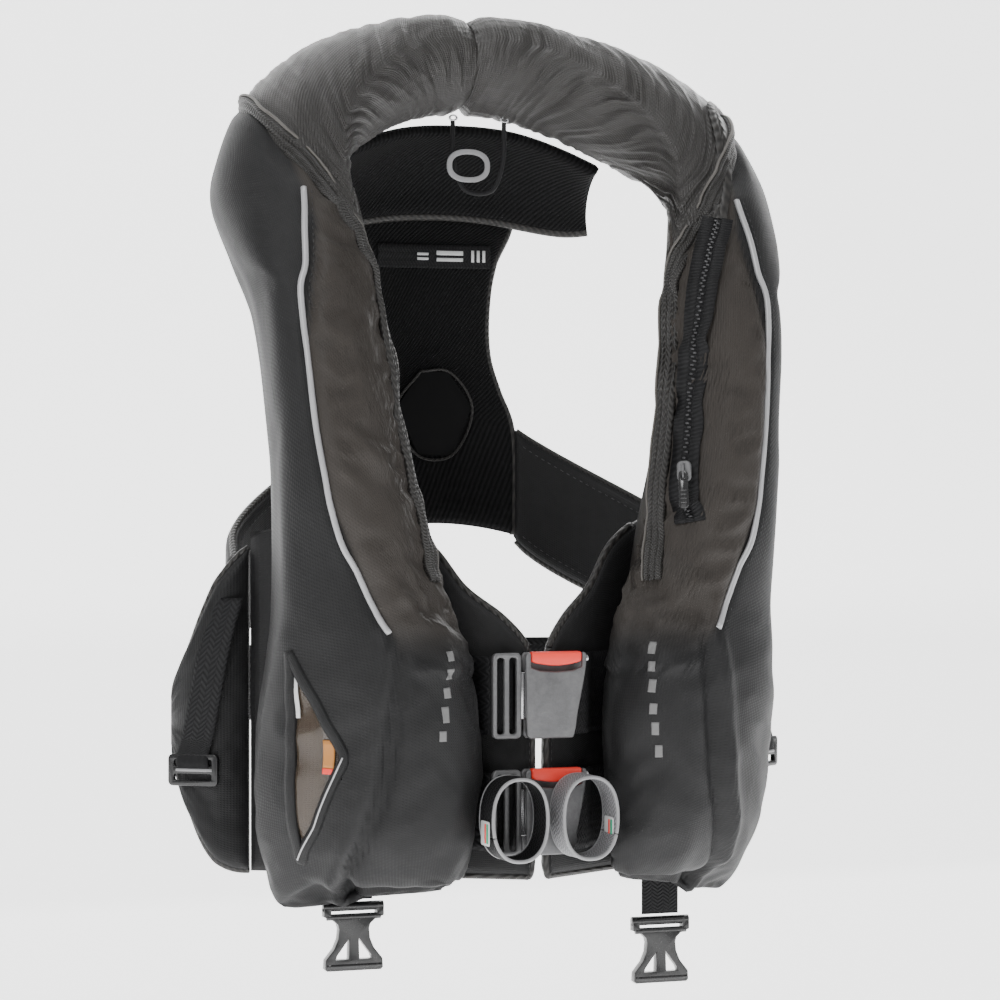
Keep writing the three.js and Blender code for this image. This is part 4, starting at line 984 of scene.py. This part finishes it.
weft = lambda u, w: 0.12 * math.cos(2 * math.pi * w * 6)
for level, z in (("upper", upper), ("lower", lower)):
    turn = [(-34, 4.6), (-31, 3.6), (-28.2, 3.2), (-24.6, 3.2), (-21.2, 3.2), (-19.4, 4.4), (-24, 6.2)]
    line = curveOf([lyingAt(-1, x, z) for x in (60, 50, 40)] + [(x, buckleY + y, z) for x, y in turn])
    strap = webbingBand(f"{level}_belt_right", line, upright, frontBelt["rightWidth"], 1.7,
                        finishes["webbing"], 90, weft)
    dressed(strap, "front_right", stands=[f"{level}_right_strap"])
    turn = [(30, 8.3), (20, 7.4), (10, 7.2)]
    line = curveOf([lyingAt(1, x, z) for x in (60, 50, 38)] + [(x, buckleY + y, z) for x, y in turn])
    strap = webbingBand(f"{level}_belt_left", line, upright, frontBelt["leftWidth"], 1.9,
                        finishes["webbing"], 60, weft)
    dressed(strap, "front_left", stands=[f"{level}_left_strap"])
    outline = [rounded(19, 53, 3.4), rounded(4.5, 47, 1.6, (-4.2, 0)), rounded(4.5, 47, 1.6, (3.8, 0))]
    frameBody = plate("frame", outline, 3.6, (-24.5, buckleY, z), east, high, finishes["metal"], 1.0, 3)
    tongue = plate("tongue", [rounded(14, 29, 2)], 1.9, (-10.5, buckleY, z), east, high,
                   finishes["brightMetal"], 0.5)
    dressed(joined(f"{level}_slider", [frameBody, tongue]), "front_right",
            stands=[f"{level}_slider_frame"])
    right = [(27 - 7.5 * rise(i / 8), 26.5 - 53 * i / 8) for i in range(1, 8)]
    foot = [(18, -26.5), (-10.5, -26.5), (-12.6, -24.5)]
    notch = [(-9.9, 26.5), (-9.9, 17.5), (-4, 15.4), (7, 14.6), (18, 15.4), (23.9, 17.5), (23.9, 26.5)]
    face = [(-13.5, 24.5), (-12, 26.5)] + notch + [(26, 26.5), (27, 24.5)] + right + foot
    back = [(-13.5, 24.5), (-12, 26.5), (26, 26.5), (27, 24.5)] + right + foot
    shell = [plate("face", [face], 3.6, (0, buckleY - 3.2, z), east, high, finishes["metal"], 1.3, 3),
             plate("back", [back], 2.4, (0, buckleY + 3.7, z), east, high, finishes["metal"], 0.8, 2),
             plate("core", [[(0, 13), (24, 13), (17.5, -25), (0, -25)]], 4.6, (0, buckleY + 0.6, z),
                   east, high, finishes["metal"], 0),
             rod("pin", [(24.5, buckleY - 2.6, z + 22.6), (28.2, buckleY - 2.6, z + 22.6)], 2.1,
                 finishes["brightMetal"], 14, 6)]
    dressed(joined(f"{level}_buckle", shell), "front_left", stands=[f"{level}_buckle_plate"])
    sag = [(23.5 - 33 * i / 12, 20.6 - 2.2 * math.sin(math.pi * i / 12)) for i in range(1, 12)]
    bulge = [(-9.5, 27.0), (23.5, 27.0), (23.5, 21)] + sag + [(-9.5, 21)]
    tab = plate(f"{level}_tab", [bulge], 6.4, (0, buckleY - 2.0, z), east, high, finishes["red"], 1.4, 3)
    dressed(tab, f"{level}_release", stands=[f"{level}_release_tab"])
print("buckles")

tetherLoop = {"top": -363, "back": -58.3, "wide": 17.6, "tall": 25.0, "power": 0.86, "width": 23.4,
              "thick": 1.9}
loopTop, loopBack = tetherLoop["top"], tetherLoop["back"]
for name, side, centreX, ink in (("right", -1, -26, "webbing"), ("left", 1, 20, "greyWebbing")):
    def ring(u, grow=0.0, y=0.0):
        turn = math.radians(200 - 359 * u) if side < 0 else math.radians(-20 + 359 * u)
        wide, tall, power = tetherLoop["wide"] + grow, tetherLoop["tall"] + grow, tetherLoop["power"]
        return np.array((centreX + wide * math.copysign(abs(math.cos(turn)) ** power, math.cos(turn)),
                         loopBack - 12.5 + y,
                         loopTop - 26 + tall * math.copysign(abs(math.sin(turn)) ** power, math.sin(turn))))
    webbing = webbingBand("band", lambda u: ring(u), lambda u: np.array((0, 1.0, 0)),
                          tetherLoop["width"], tetherLoop["thick"], finishes[ink], 100,
                          lambda u, w: 0.1 * math.cos(8 * math.pi * w))
    edges = [rod("edge", [ring(u, 0, y) for u in np.linspace(0, 1, 40)], 1.15, finishes["greyPlastic"],
                 8, 120) for y in (-11.5, 11.5)]
    dressed(joined(f"{name}_tether_webbing", [webbing] + edges), f"{name}_loop",
            stands=[f"{name}_tether_loop"])
    outX = -18.9 if side < 0 else 16.2
    spot = Vector((centreX + outX, loopBack - 13, loopTop - 34))
    base = plate("cloth", [rounded(15, 15, 1.5)], 0.5, spot, (0, 1, 0), high, finishes["label"], 0.15, 1)
    marks = [plate("mark", [rounded(3, 12, 0.8)], 0.5, spot + Vector((-0.35, -4.5, 0)), (0, 1, 0), high,
                   finishes["green"], 0.1, 1),
             plate("mark", [rounded(2, 12, 0.8)], 0.5, spot + Vector((-0.35, -0.8, 0)), (0, 1, 0), high,
                   finishes["red"], 0.1, 1)]
    dressed(joined(f"{name}_loop_label", [base] + marks), f"{name}_loop")

legStrap = {"x": 104, "y": 9.37, "hem": -444.82, "width": 25, "thick": 1.9, "buckleHalf": 19.5,
            "buckleLow": -40}
crotchX, crotchY, lobeHem = (legStrap[key] for key in ("x", "y", "hem"))
for name, side, drop in (("right", -1, 0.5), ("left", 1, 19)):
    x, end = side * crotchX, lobeHem - drop
    line = curveOf([(x, crotchY, panelHem + 14), (x, crotchY, panelHem),
                    (x, crotchY, (panelHem + end) / 2), (x, crotchY, end + 1)])
    strap = webbingBand(f"{name}_leg_webbing", line, lambda u: np.array((1.0, 0, 0)), legStrap["width"],
                        legStrap["thick"], finishes["webbing"], 24, weft)
    dressed(strap, fronts[side], stands=[f"{name}_crotch_strap"])
    w, low = legStrap["buckleHalf"], legStrap["buckleLow"]
    half = [(w, -1), (w, -6), (w * 0.7, -8.2), (w * 0.54, -11), (w * 0.5, -14), (w * 0.53, -20),
            (w * 0.66, -26), (w * 0.95, -33),
            (w * 0.97, low + 1.5), (w * 0.9, low)]
    outline = half + [(-a, b) for a, b in reversed(half)]
    tear = [(3.0, -19.5), (3.4, -33), (12, -33), (11.2, -30.5)]
    holes = [rounded(30, 3.4, 0.8, (0, -3.2)), tear, [(-a, b) for a, b in reversed(tear)]]
    at = (x, crotchY, end - 3.3)
    parts = [plate("shell", [outline] + holes, 5.8, at, east, high, finishes["plastic"], 1.1, 3),
             rod("bar", [(x - w, crotchY, end - 3.3), (x + w, crotchY, end - 3.3)], 2.9,
                 finishes["plastic"], 16, 8),
             rod("bar", [(x - w * 0.9, crotchY - 1.2, end - 9.6),
                         (x + w * 0.9, crotchY - 1.2, end - 9.6)], 2.0, finishes["plastic"], 12, 8),
             rod("lip", [(x - w * 0.92, crotchY - 1.5, end - 40.4),
                         (x + w * 0.92, crotchY - 1.5, end - 40.4)], 1.9, finishes["plastic"], 12, 8)]
    dressed(joined(f"{name}_leg_buckle", parts), f"{name}_crotch",
            stands=[f"{name}_crotch_buckle"])

torsoSide = [(-168, 57), (-156, 96), (-118, 134), (-62, 157)]
torsoLine = [np.array((x, y, 0.0)) for x, y in torsoSide + [(0, 163)] + [(-x, y) for x, y in reversed(torsoSide)]]
samples = np.array([curvePoint(torsoLine, i / 400) for i in range(401)])
walked = np.concatenate([[0], np.cumsum(np.linalg.norm(np.diff(samples, axis=0), axis=1))])


# A point on the back: s is measured round the torso from the spine, off towards the front.
def torsoPoint(s, z, off=0.0):
    d = min(max(walked[-1] / 2 + s, 0), walked[-1])
    p = np.array([np.interp(d, walked, samples[:, i]) for i in (0, 1)])
    i = min(max(int(np.searchsorted(walked, d)), 1), 400)
    way = (samples[i] - samples[i - 1])[:2]
    way /= np.linalg.norm(way)
    return np.array((p[0] + way[1] * off, p[1] - way[0] * off, z))


trunk = [np.array((x, z, 0.0)) for x,
         z in ((62, 12), (54, -14), (44, -36), (39, -69), (40, -99), (47, -122), (56, -146), (58, -220))]


def onBack(u, w, off=0.0):
    edge = curvePoint(trunk, w)
    return torsoPoint((2 * u - 1) * edge[0], edge[1] + w * 8 * (1 - (2 * u - 1) ** 2), off)


def backRelief(u, w):
    s, z = (2 * u - 1) * curvePoint(trunk, w)[0], curvePoint(trunk, w)[1]
    quilt = 0.6 * ripple(u * 6, w * 9, 2)
    bars = 0.0
    if -206 < z < -162 and 8 < s < 52:
        bars = 1.0 * abs(math.sin((z + 162) / 44 * math.pi * 4)) * rise((s - 8) / 4) * rise((52 - s) / 4)
    return quilt - bars


harness = {"thick": 9, "rim": 3, "soft": 8, "fill": 0.4, "backWelt": 2.6, "flankWelt": 2.3}
# The first face of the panel is the one towards the wearer.
back = pad("back_pad", lambda u, w: onBack(1 - u, w), 64, 110, (110, 235), harness["thick"],
           finishes["mesh"], rim=harness["rim"], soft=harness["soft"],
           relief=lambda u, w: backRelief(1 - u, w))
dressed(back, "root", stands=["back_panel"])
for name, side in sides:
    edge = [onBack(0.5 + side * 0.5, w) for w in np.linspace(0, 1, 40)]
    dressed(rod(f"{name}_back_welt", edge, harness["backWelt"], finishes["rib"], 8, 120), "root")

    def onSide(u, w, off=0.0):
        s = 58.3 + (walked[-1] / 2 - 0.3 - 58.3) * u
        top, bottom = -148 - 84 * u ** 0.9, -221 - 79 * u ** 0.7
        return torsoPoint(side * s, top + (bottom - top) * w, off)
    flank = pad(f"{name}_flank_pad", lambda u, w: onSide(u, w) if side > 0 else onSide(u, 1 - w), 56, 36,
                (150, 75), harness["thick"], finishes["matte"],
                rim=harness["rim"], soft=harness["soft"], relief=lambda u,
                w: 0.7 * ripple(u * 7, w * 4, 6 + side))
    dressed(flank, "root", stands=[f"{name}_side_strap"])
    for place, w in (("upper", 0.0), ("lower", 1.0)):
        edge = [onSide(u, w) for u in np.linspace(0.01, 1, 30)]
        dressed(rod(f"{name}_{place}_flank_welt", edge, harness["flankWelt"], finishes["rib"], 8, 90),
                "root")
    spread = np.linspace(0.03, 0.97, 40)
    rows = [stitched("row", [onSide(u, w, 4.7) for u in spread],
                     [onSide(u, w, 5.7) - onSide(u, w, 4.7) for u in spread], finishes["thread"], 3, 5)
            for w in (0.1, 0.9)]
    dressed(joined(f"{name}_flank_stitches", rows), "root")

hexagon = [(-10, 28), (10, 28), (27, 4), (12, -29), (-12, -29), (-27, 4)]
patchY = float(np.mean([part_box("lumbar_mesh_patch")[0].y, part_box("lumbar_mesh_patch")[1].y])) / mm
lumbar = plate("lumbar_mesh", [hexagon], 1.8, (0, patchY, -137), east, high, finishes["mesh"], 0.6, 2)
trim = rod("trim", [(x, patchY - 0.9, z - 137) for x, z in hexagon + hexagon[:1]], 0.9, finishes["rib"],
           8, 60)
dressed(joined("lumbar_patch", [lumbar, trim]), "root", stands=["lumbar_mesh_patch"])
band = pad("woven_label_band", lambda u, w: torsoPoint(41 - 82 * u, -23 - 16 * w, 5.4), 40, 10, (82, 16),
           1.0, finishes["webbing"], rim=0.6, soft=1)
dressed(band, "root", stands=["label_band"])
marks = [(-12, -4, -28.5, -30.3), (-12, -4, -31.7, -33.5), (2, 21, -27, -30), (2, 21, -31.8, -34.2),
         (27, 29, -26.5, -34.5), (31, 33, -26.5, -34.5), (35, 37, -26.5, -34.5)]
made = [pad("mark", lambda u, w: torsoPoint(b + (a - b) * u, c + (d - c) * w, 6.1), 8, 3, (10, 3), 0.4,
            finishes["label"], rim=0.4, soft=0)
        for a, b, c, d in marks]
dressed(joined("label_band_bars", made), "root")

beltSide = [(201, 84), (187.5, 64), (178.5, 60), (174.5, 66), (163, 99), (122, 139), (63, 163)]
beltPlan = [(-x, y, upper - (10 if x > 200 else 0)) for x, y in beltSide] + [(0, 169, upper)]
beltPlan += [(-x, y, z) for x, y, z in reversed(beltPlan[:-1])]
ends = lambda u: np.array((0, 0, 0.42 + 0.58 * rise(min(u, 1 - u) / 0.05)))
dressed(webbingBand("waist_webbing", curveOf(beltPlan), ends, 49, 1.9, finishes["webbing"], 240, weft),
        "root",
        stands=["waist_belt"])
print("back")

napeRoll = {"span": 2.3, "angle": 312, "lift": 6.2, "drop": 54, "spread": 0.08, "thick": 9.6, "welt": 3.2}


def nape(u, w):
    top = skin(napeRoll["span"] * (2 * u - 1), napeRoll["angle"], napeRoll["lift"])
    spread = napeRoll["spread"] * top[0]
    foot = torsoPoint(top[0] + spread, 0, 4.5 + 0.8 + 5)
    return top + np.array((spread * w, (foot[1] - top[1]) * math.sin(w * math.pi / 2),
                           -napeRoll["drop"] * w ** 1.4 * (1 - 0.3 * (2 * u - 1) ** 4)))


napePad = pad("nape_mesh", lambda u, w: nape(1 - u, w), 80, 34, (210, 70), napeRoll["thick"],
              finishes["mesh"], rim=3.5, soft=8,
              relief=lambda u, w: 0.5 * ripple(u * 9, w * 4, 3))
dressed(napePad, "root", stands=["nape_pad"])
edge = [nape(u, 1.0) for u in np.linspace(0, 1, 50)]
dressed(rod("nape_welt", edge, napeRoll["welt"], finishes["rib"], 8, 160), "root")
ringPair = [ellipse(6.4, 4.4, (0, 0), 24), ellipse(3.4, 2.2, (0, 0), 24)]
eyelets = [plate("eyelet", ringPair, 1.2, (x, hangY - 1.0, hangTop + 1.5), east, high,
                 finishes["brightMetal"], 0.4)
           for x in hangX]
dressed(joined("loop_eyelets", eyelets), "root")

hipPad = {"thick": 12, "rim": 4, "soft": 9, "fill": 0.5, "welt": 2.3, "strapWidth": 21, "strapThick": 1.6}
wingPlan = [np.array((x, y, 0.0)) for x, y in ((160, 49.5), (181, 51), (193, 58), (202, 74))]


def wingPoint(side, u, z, off=0.0):
    u = min(max(u, 0.0), 1.0)
    p = curvePoint(wingPlan, u)
    way = curvePoint(wingPlan, min(u + 1e-3, 1)) - curvePoint(wingPlan, max(u - 1e-3, 0))
    way /= np.linalg.norm(way)
    return np.array((side * (p[0] + way[1] * off), p[1] - way[0] * off, z))


for name, side in sides:
    def onWing(u, w):
        top, bottom = -225 - 95 * u ** 1.3, -428 + 78 * u ** 2.2
        return wingPoint(side, u, top + (bottom - top) * w)
    wing = pad(f"{name}_hip_pad", (lambda u, w: onWing(u, 1 - w)) if side > 0 else onWing, 40, 90,
               (52, 190), hipPad["thick"], finishes["matte"],
               rim=hipPad["rim"], soft=hipPad["soft"], relief=lambda u,
               w: 1.6 * ripple(u * 2.4, w * 7, 4 + side) + 0.5 * ripple(u * 8, w * 22, 9))
    dressed(wing, "root", stands=[f"{name}_hip_wing"])
    border = [onWing(u, 0.0) for u in np.linspace(0, 1, 16)]
    border += [onWing(1.0, w) for w in np.linspace(0.08, 0.92, 12)]
    border += [onWing(u, 1.0) for u in np.linspace(1, 0, 16)]
    dressed(rod(f"{name}_hip_welt", border, hipPad["welt"], finishes["rib"], 8, 140), "root")
    face = lambda u, z, off: wingPoint(side, u, z, 6.5 - 2 * u + off)
    strapLine = curveOf([face(0.24, -256, 1.2), face(0.34, -285, 1.6), face(0.46, -318, 1.8),
                         face(0.56, -345, 2.0), face(0.6, -354, 3.4),
                         face(0.6, -360, 4.6), face(0.6, -366, 1.6)])
    wayOut = (wingPoint(side, 0.62, 0) - wingPoint(side, 0.5, 0))
    wayOut /= np.linalg.norm(wayOut)
    strap = webbingBand(f"{name}_adjuster_webbing", strapLine, lambda u: wayOut, hipPad["strapWidth"],
                        hipPad["strapThick"], finishes["webbing"], 70, weft)
    dressed(strap, "root", stands=[f"{name}_adjuster_strap"])
    spot = face(0.6, -364, 2.6)
    glide = plate("glide", [rounded(33, 20, 3), rounded(25, 4.2, 1.2, (0, 4.5)),
                            rounded(25, 4.2, 1.2, (0, -4.5))], 3.6, spot, wayOut, high,
                  finishes["plastic"], 1.0, 3)
    # a lighter grey rod over the black glide's centre bar: a painted highlight
    shine = rod("bar", [spot - wayOut * 12 + np.array((0, -1.4, 0)),
                        spot + wayOut * 12 + np.array((0, -1.4, 0))], 1.2, finishes["greyPlastic"], 8, 6)
    dressed(joined(f"{name}_glide", [glide, shine]), "root",
            stands=[f"{name}_adjuster_slider"])
print("hip wings")

plain = {"inflator_body": "plastic", "water_sensor_cap": "amber", "gas_cylinder": "brightMetal",
         "firing_lever": "plastic",
         "pull_toggle": "red", "oral_tube": "plastic", "oral_tube_cap": "red", "whistle": "amber"}
for node_, kind in plain.items():
    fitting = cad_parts[node_]
    fitting.data.materials.clear()
    fitting.data.materials.append(finishes[kind])

backdrop = finish("paleBackdrop", (0.9, 0.9, 0.9), 0.9, Specular_IOR_Level=0.0, Emission_Color=(1, 1, 1, 1),
                  Emission_Strength=1.7)
sweep = [(-3.5, -0.75), (1.2, -0.75), (1.7, -0.66), (1.95, -0.4), (2.0, 0.2), (2.0, 3.2)]
mesh = bmesh.new()
for v in bmesh.ops.create_grid(mesh, x_segments=1, y_segments=40, size=0.5)["verts"]:
    y, z = (between(v.co.y + 0.5, [(i / 5, p[j]) for i, p in enumerate(sweep)]) for j in (0, 1))
    v.co = (v.co.x * 9, y, z)
floor = finished("floor", mesh, backdrop)
world = bpy.data.worlds.new("studio")
world.use_nodes = True
world.node_tree.nodes["Background"].inputs["Color"].default_value = (1, 1, 1, 1)
world.node_tree.nodes["Background"].inputs["Strength"].default_value = 0.4
scene.world = world
lights = {"key": ((-1.5, -1.7, 1.3), 0.9, 34), "fill": ((1.7, -1.6, 0.5), 1.6, 9),
          "top": ((0, 0.2, 1.9), 1.4, 20),
          "rim": ((1.3, 1.2, 0.9), 1.0, 12)}
for name, (place, size, power) in lights.items():
    lamp = bpy.data.objects.new(name, bpy.data.lights.new(name, "AREA"))
    lamp.data.size, lamp.data.energy = size, power
    lamp.location = place
    lamp.rotation_euler = (Vector((0, 0, -0.2)) - Vector(place)).to_track_quat("-Z", "Y").to_euler()
    scene.collection.objects.link(lamp)
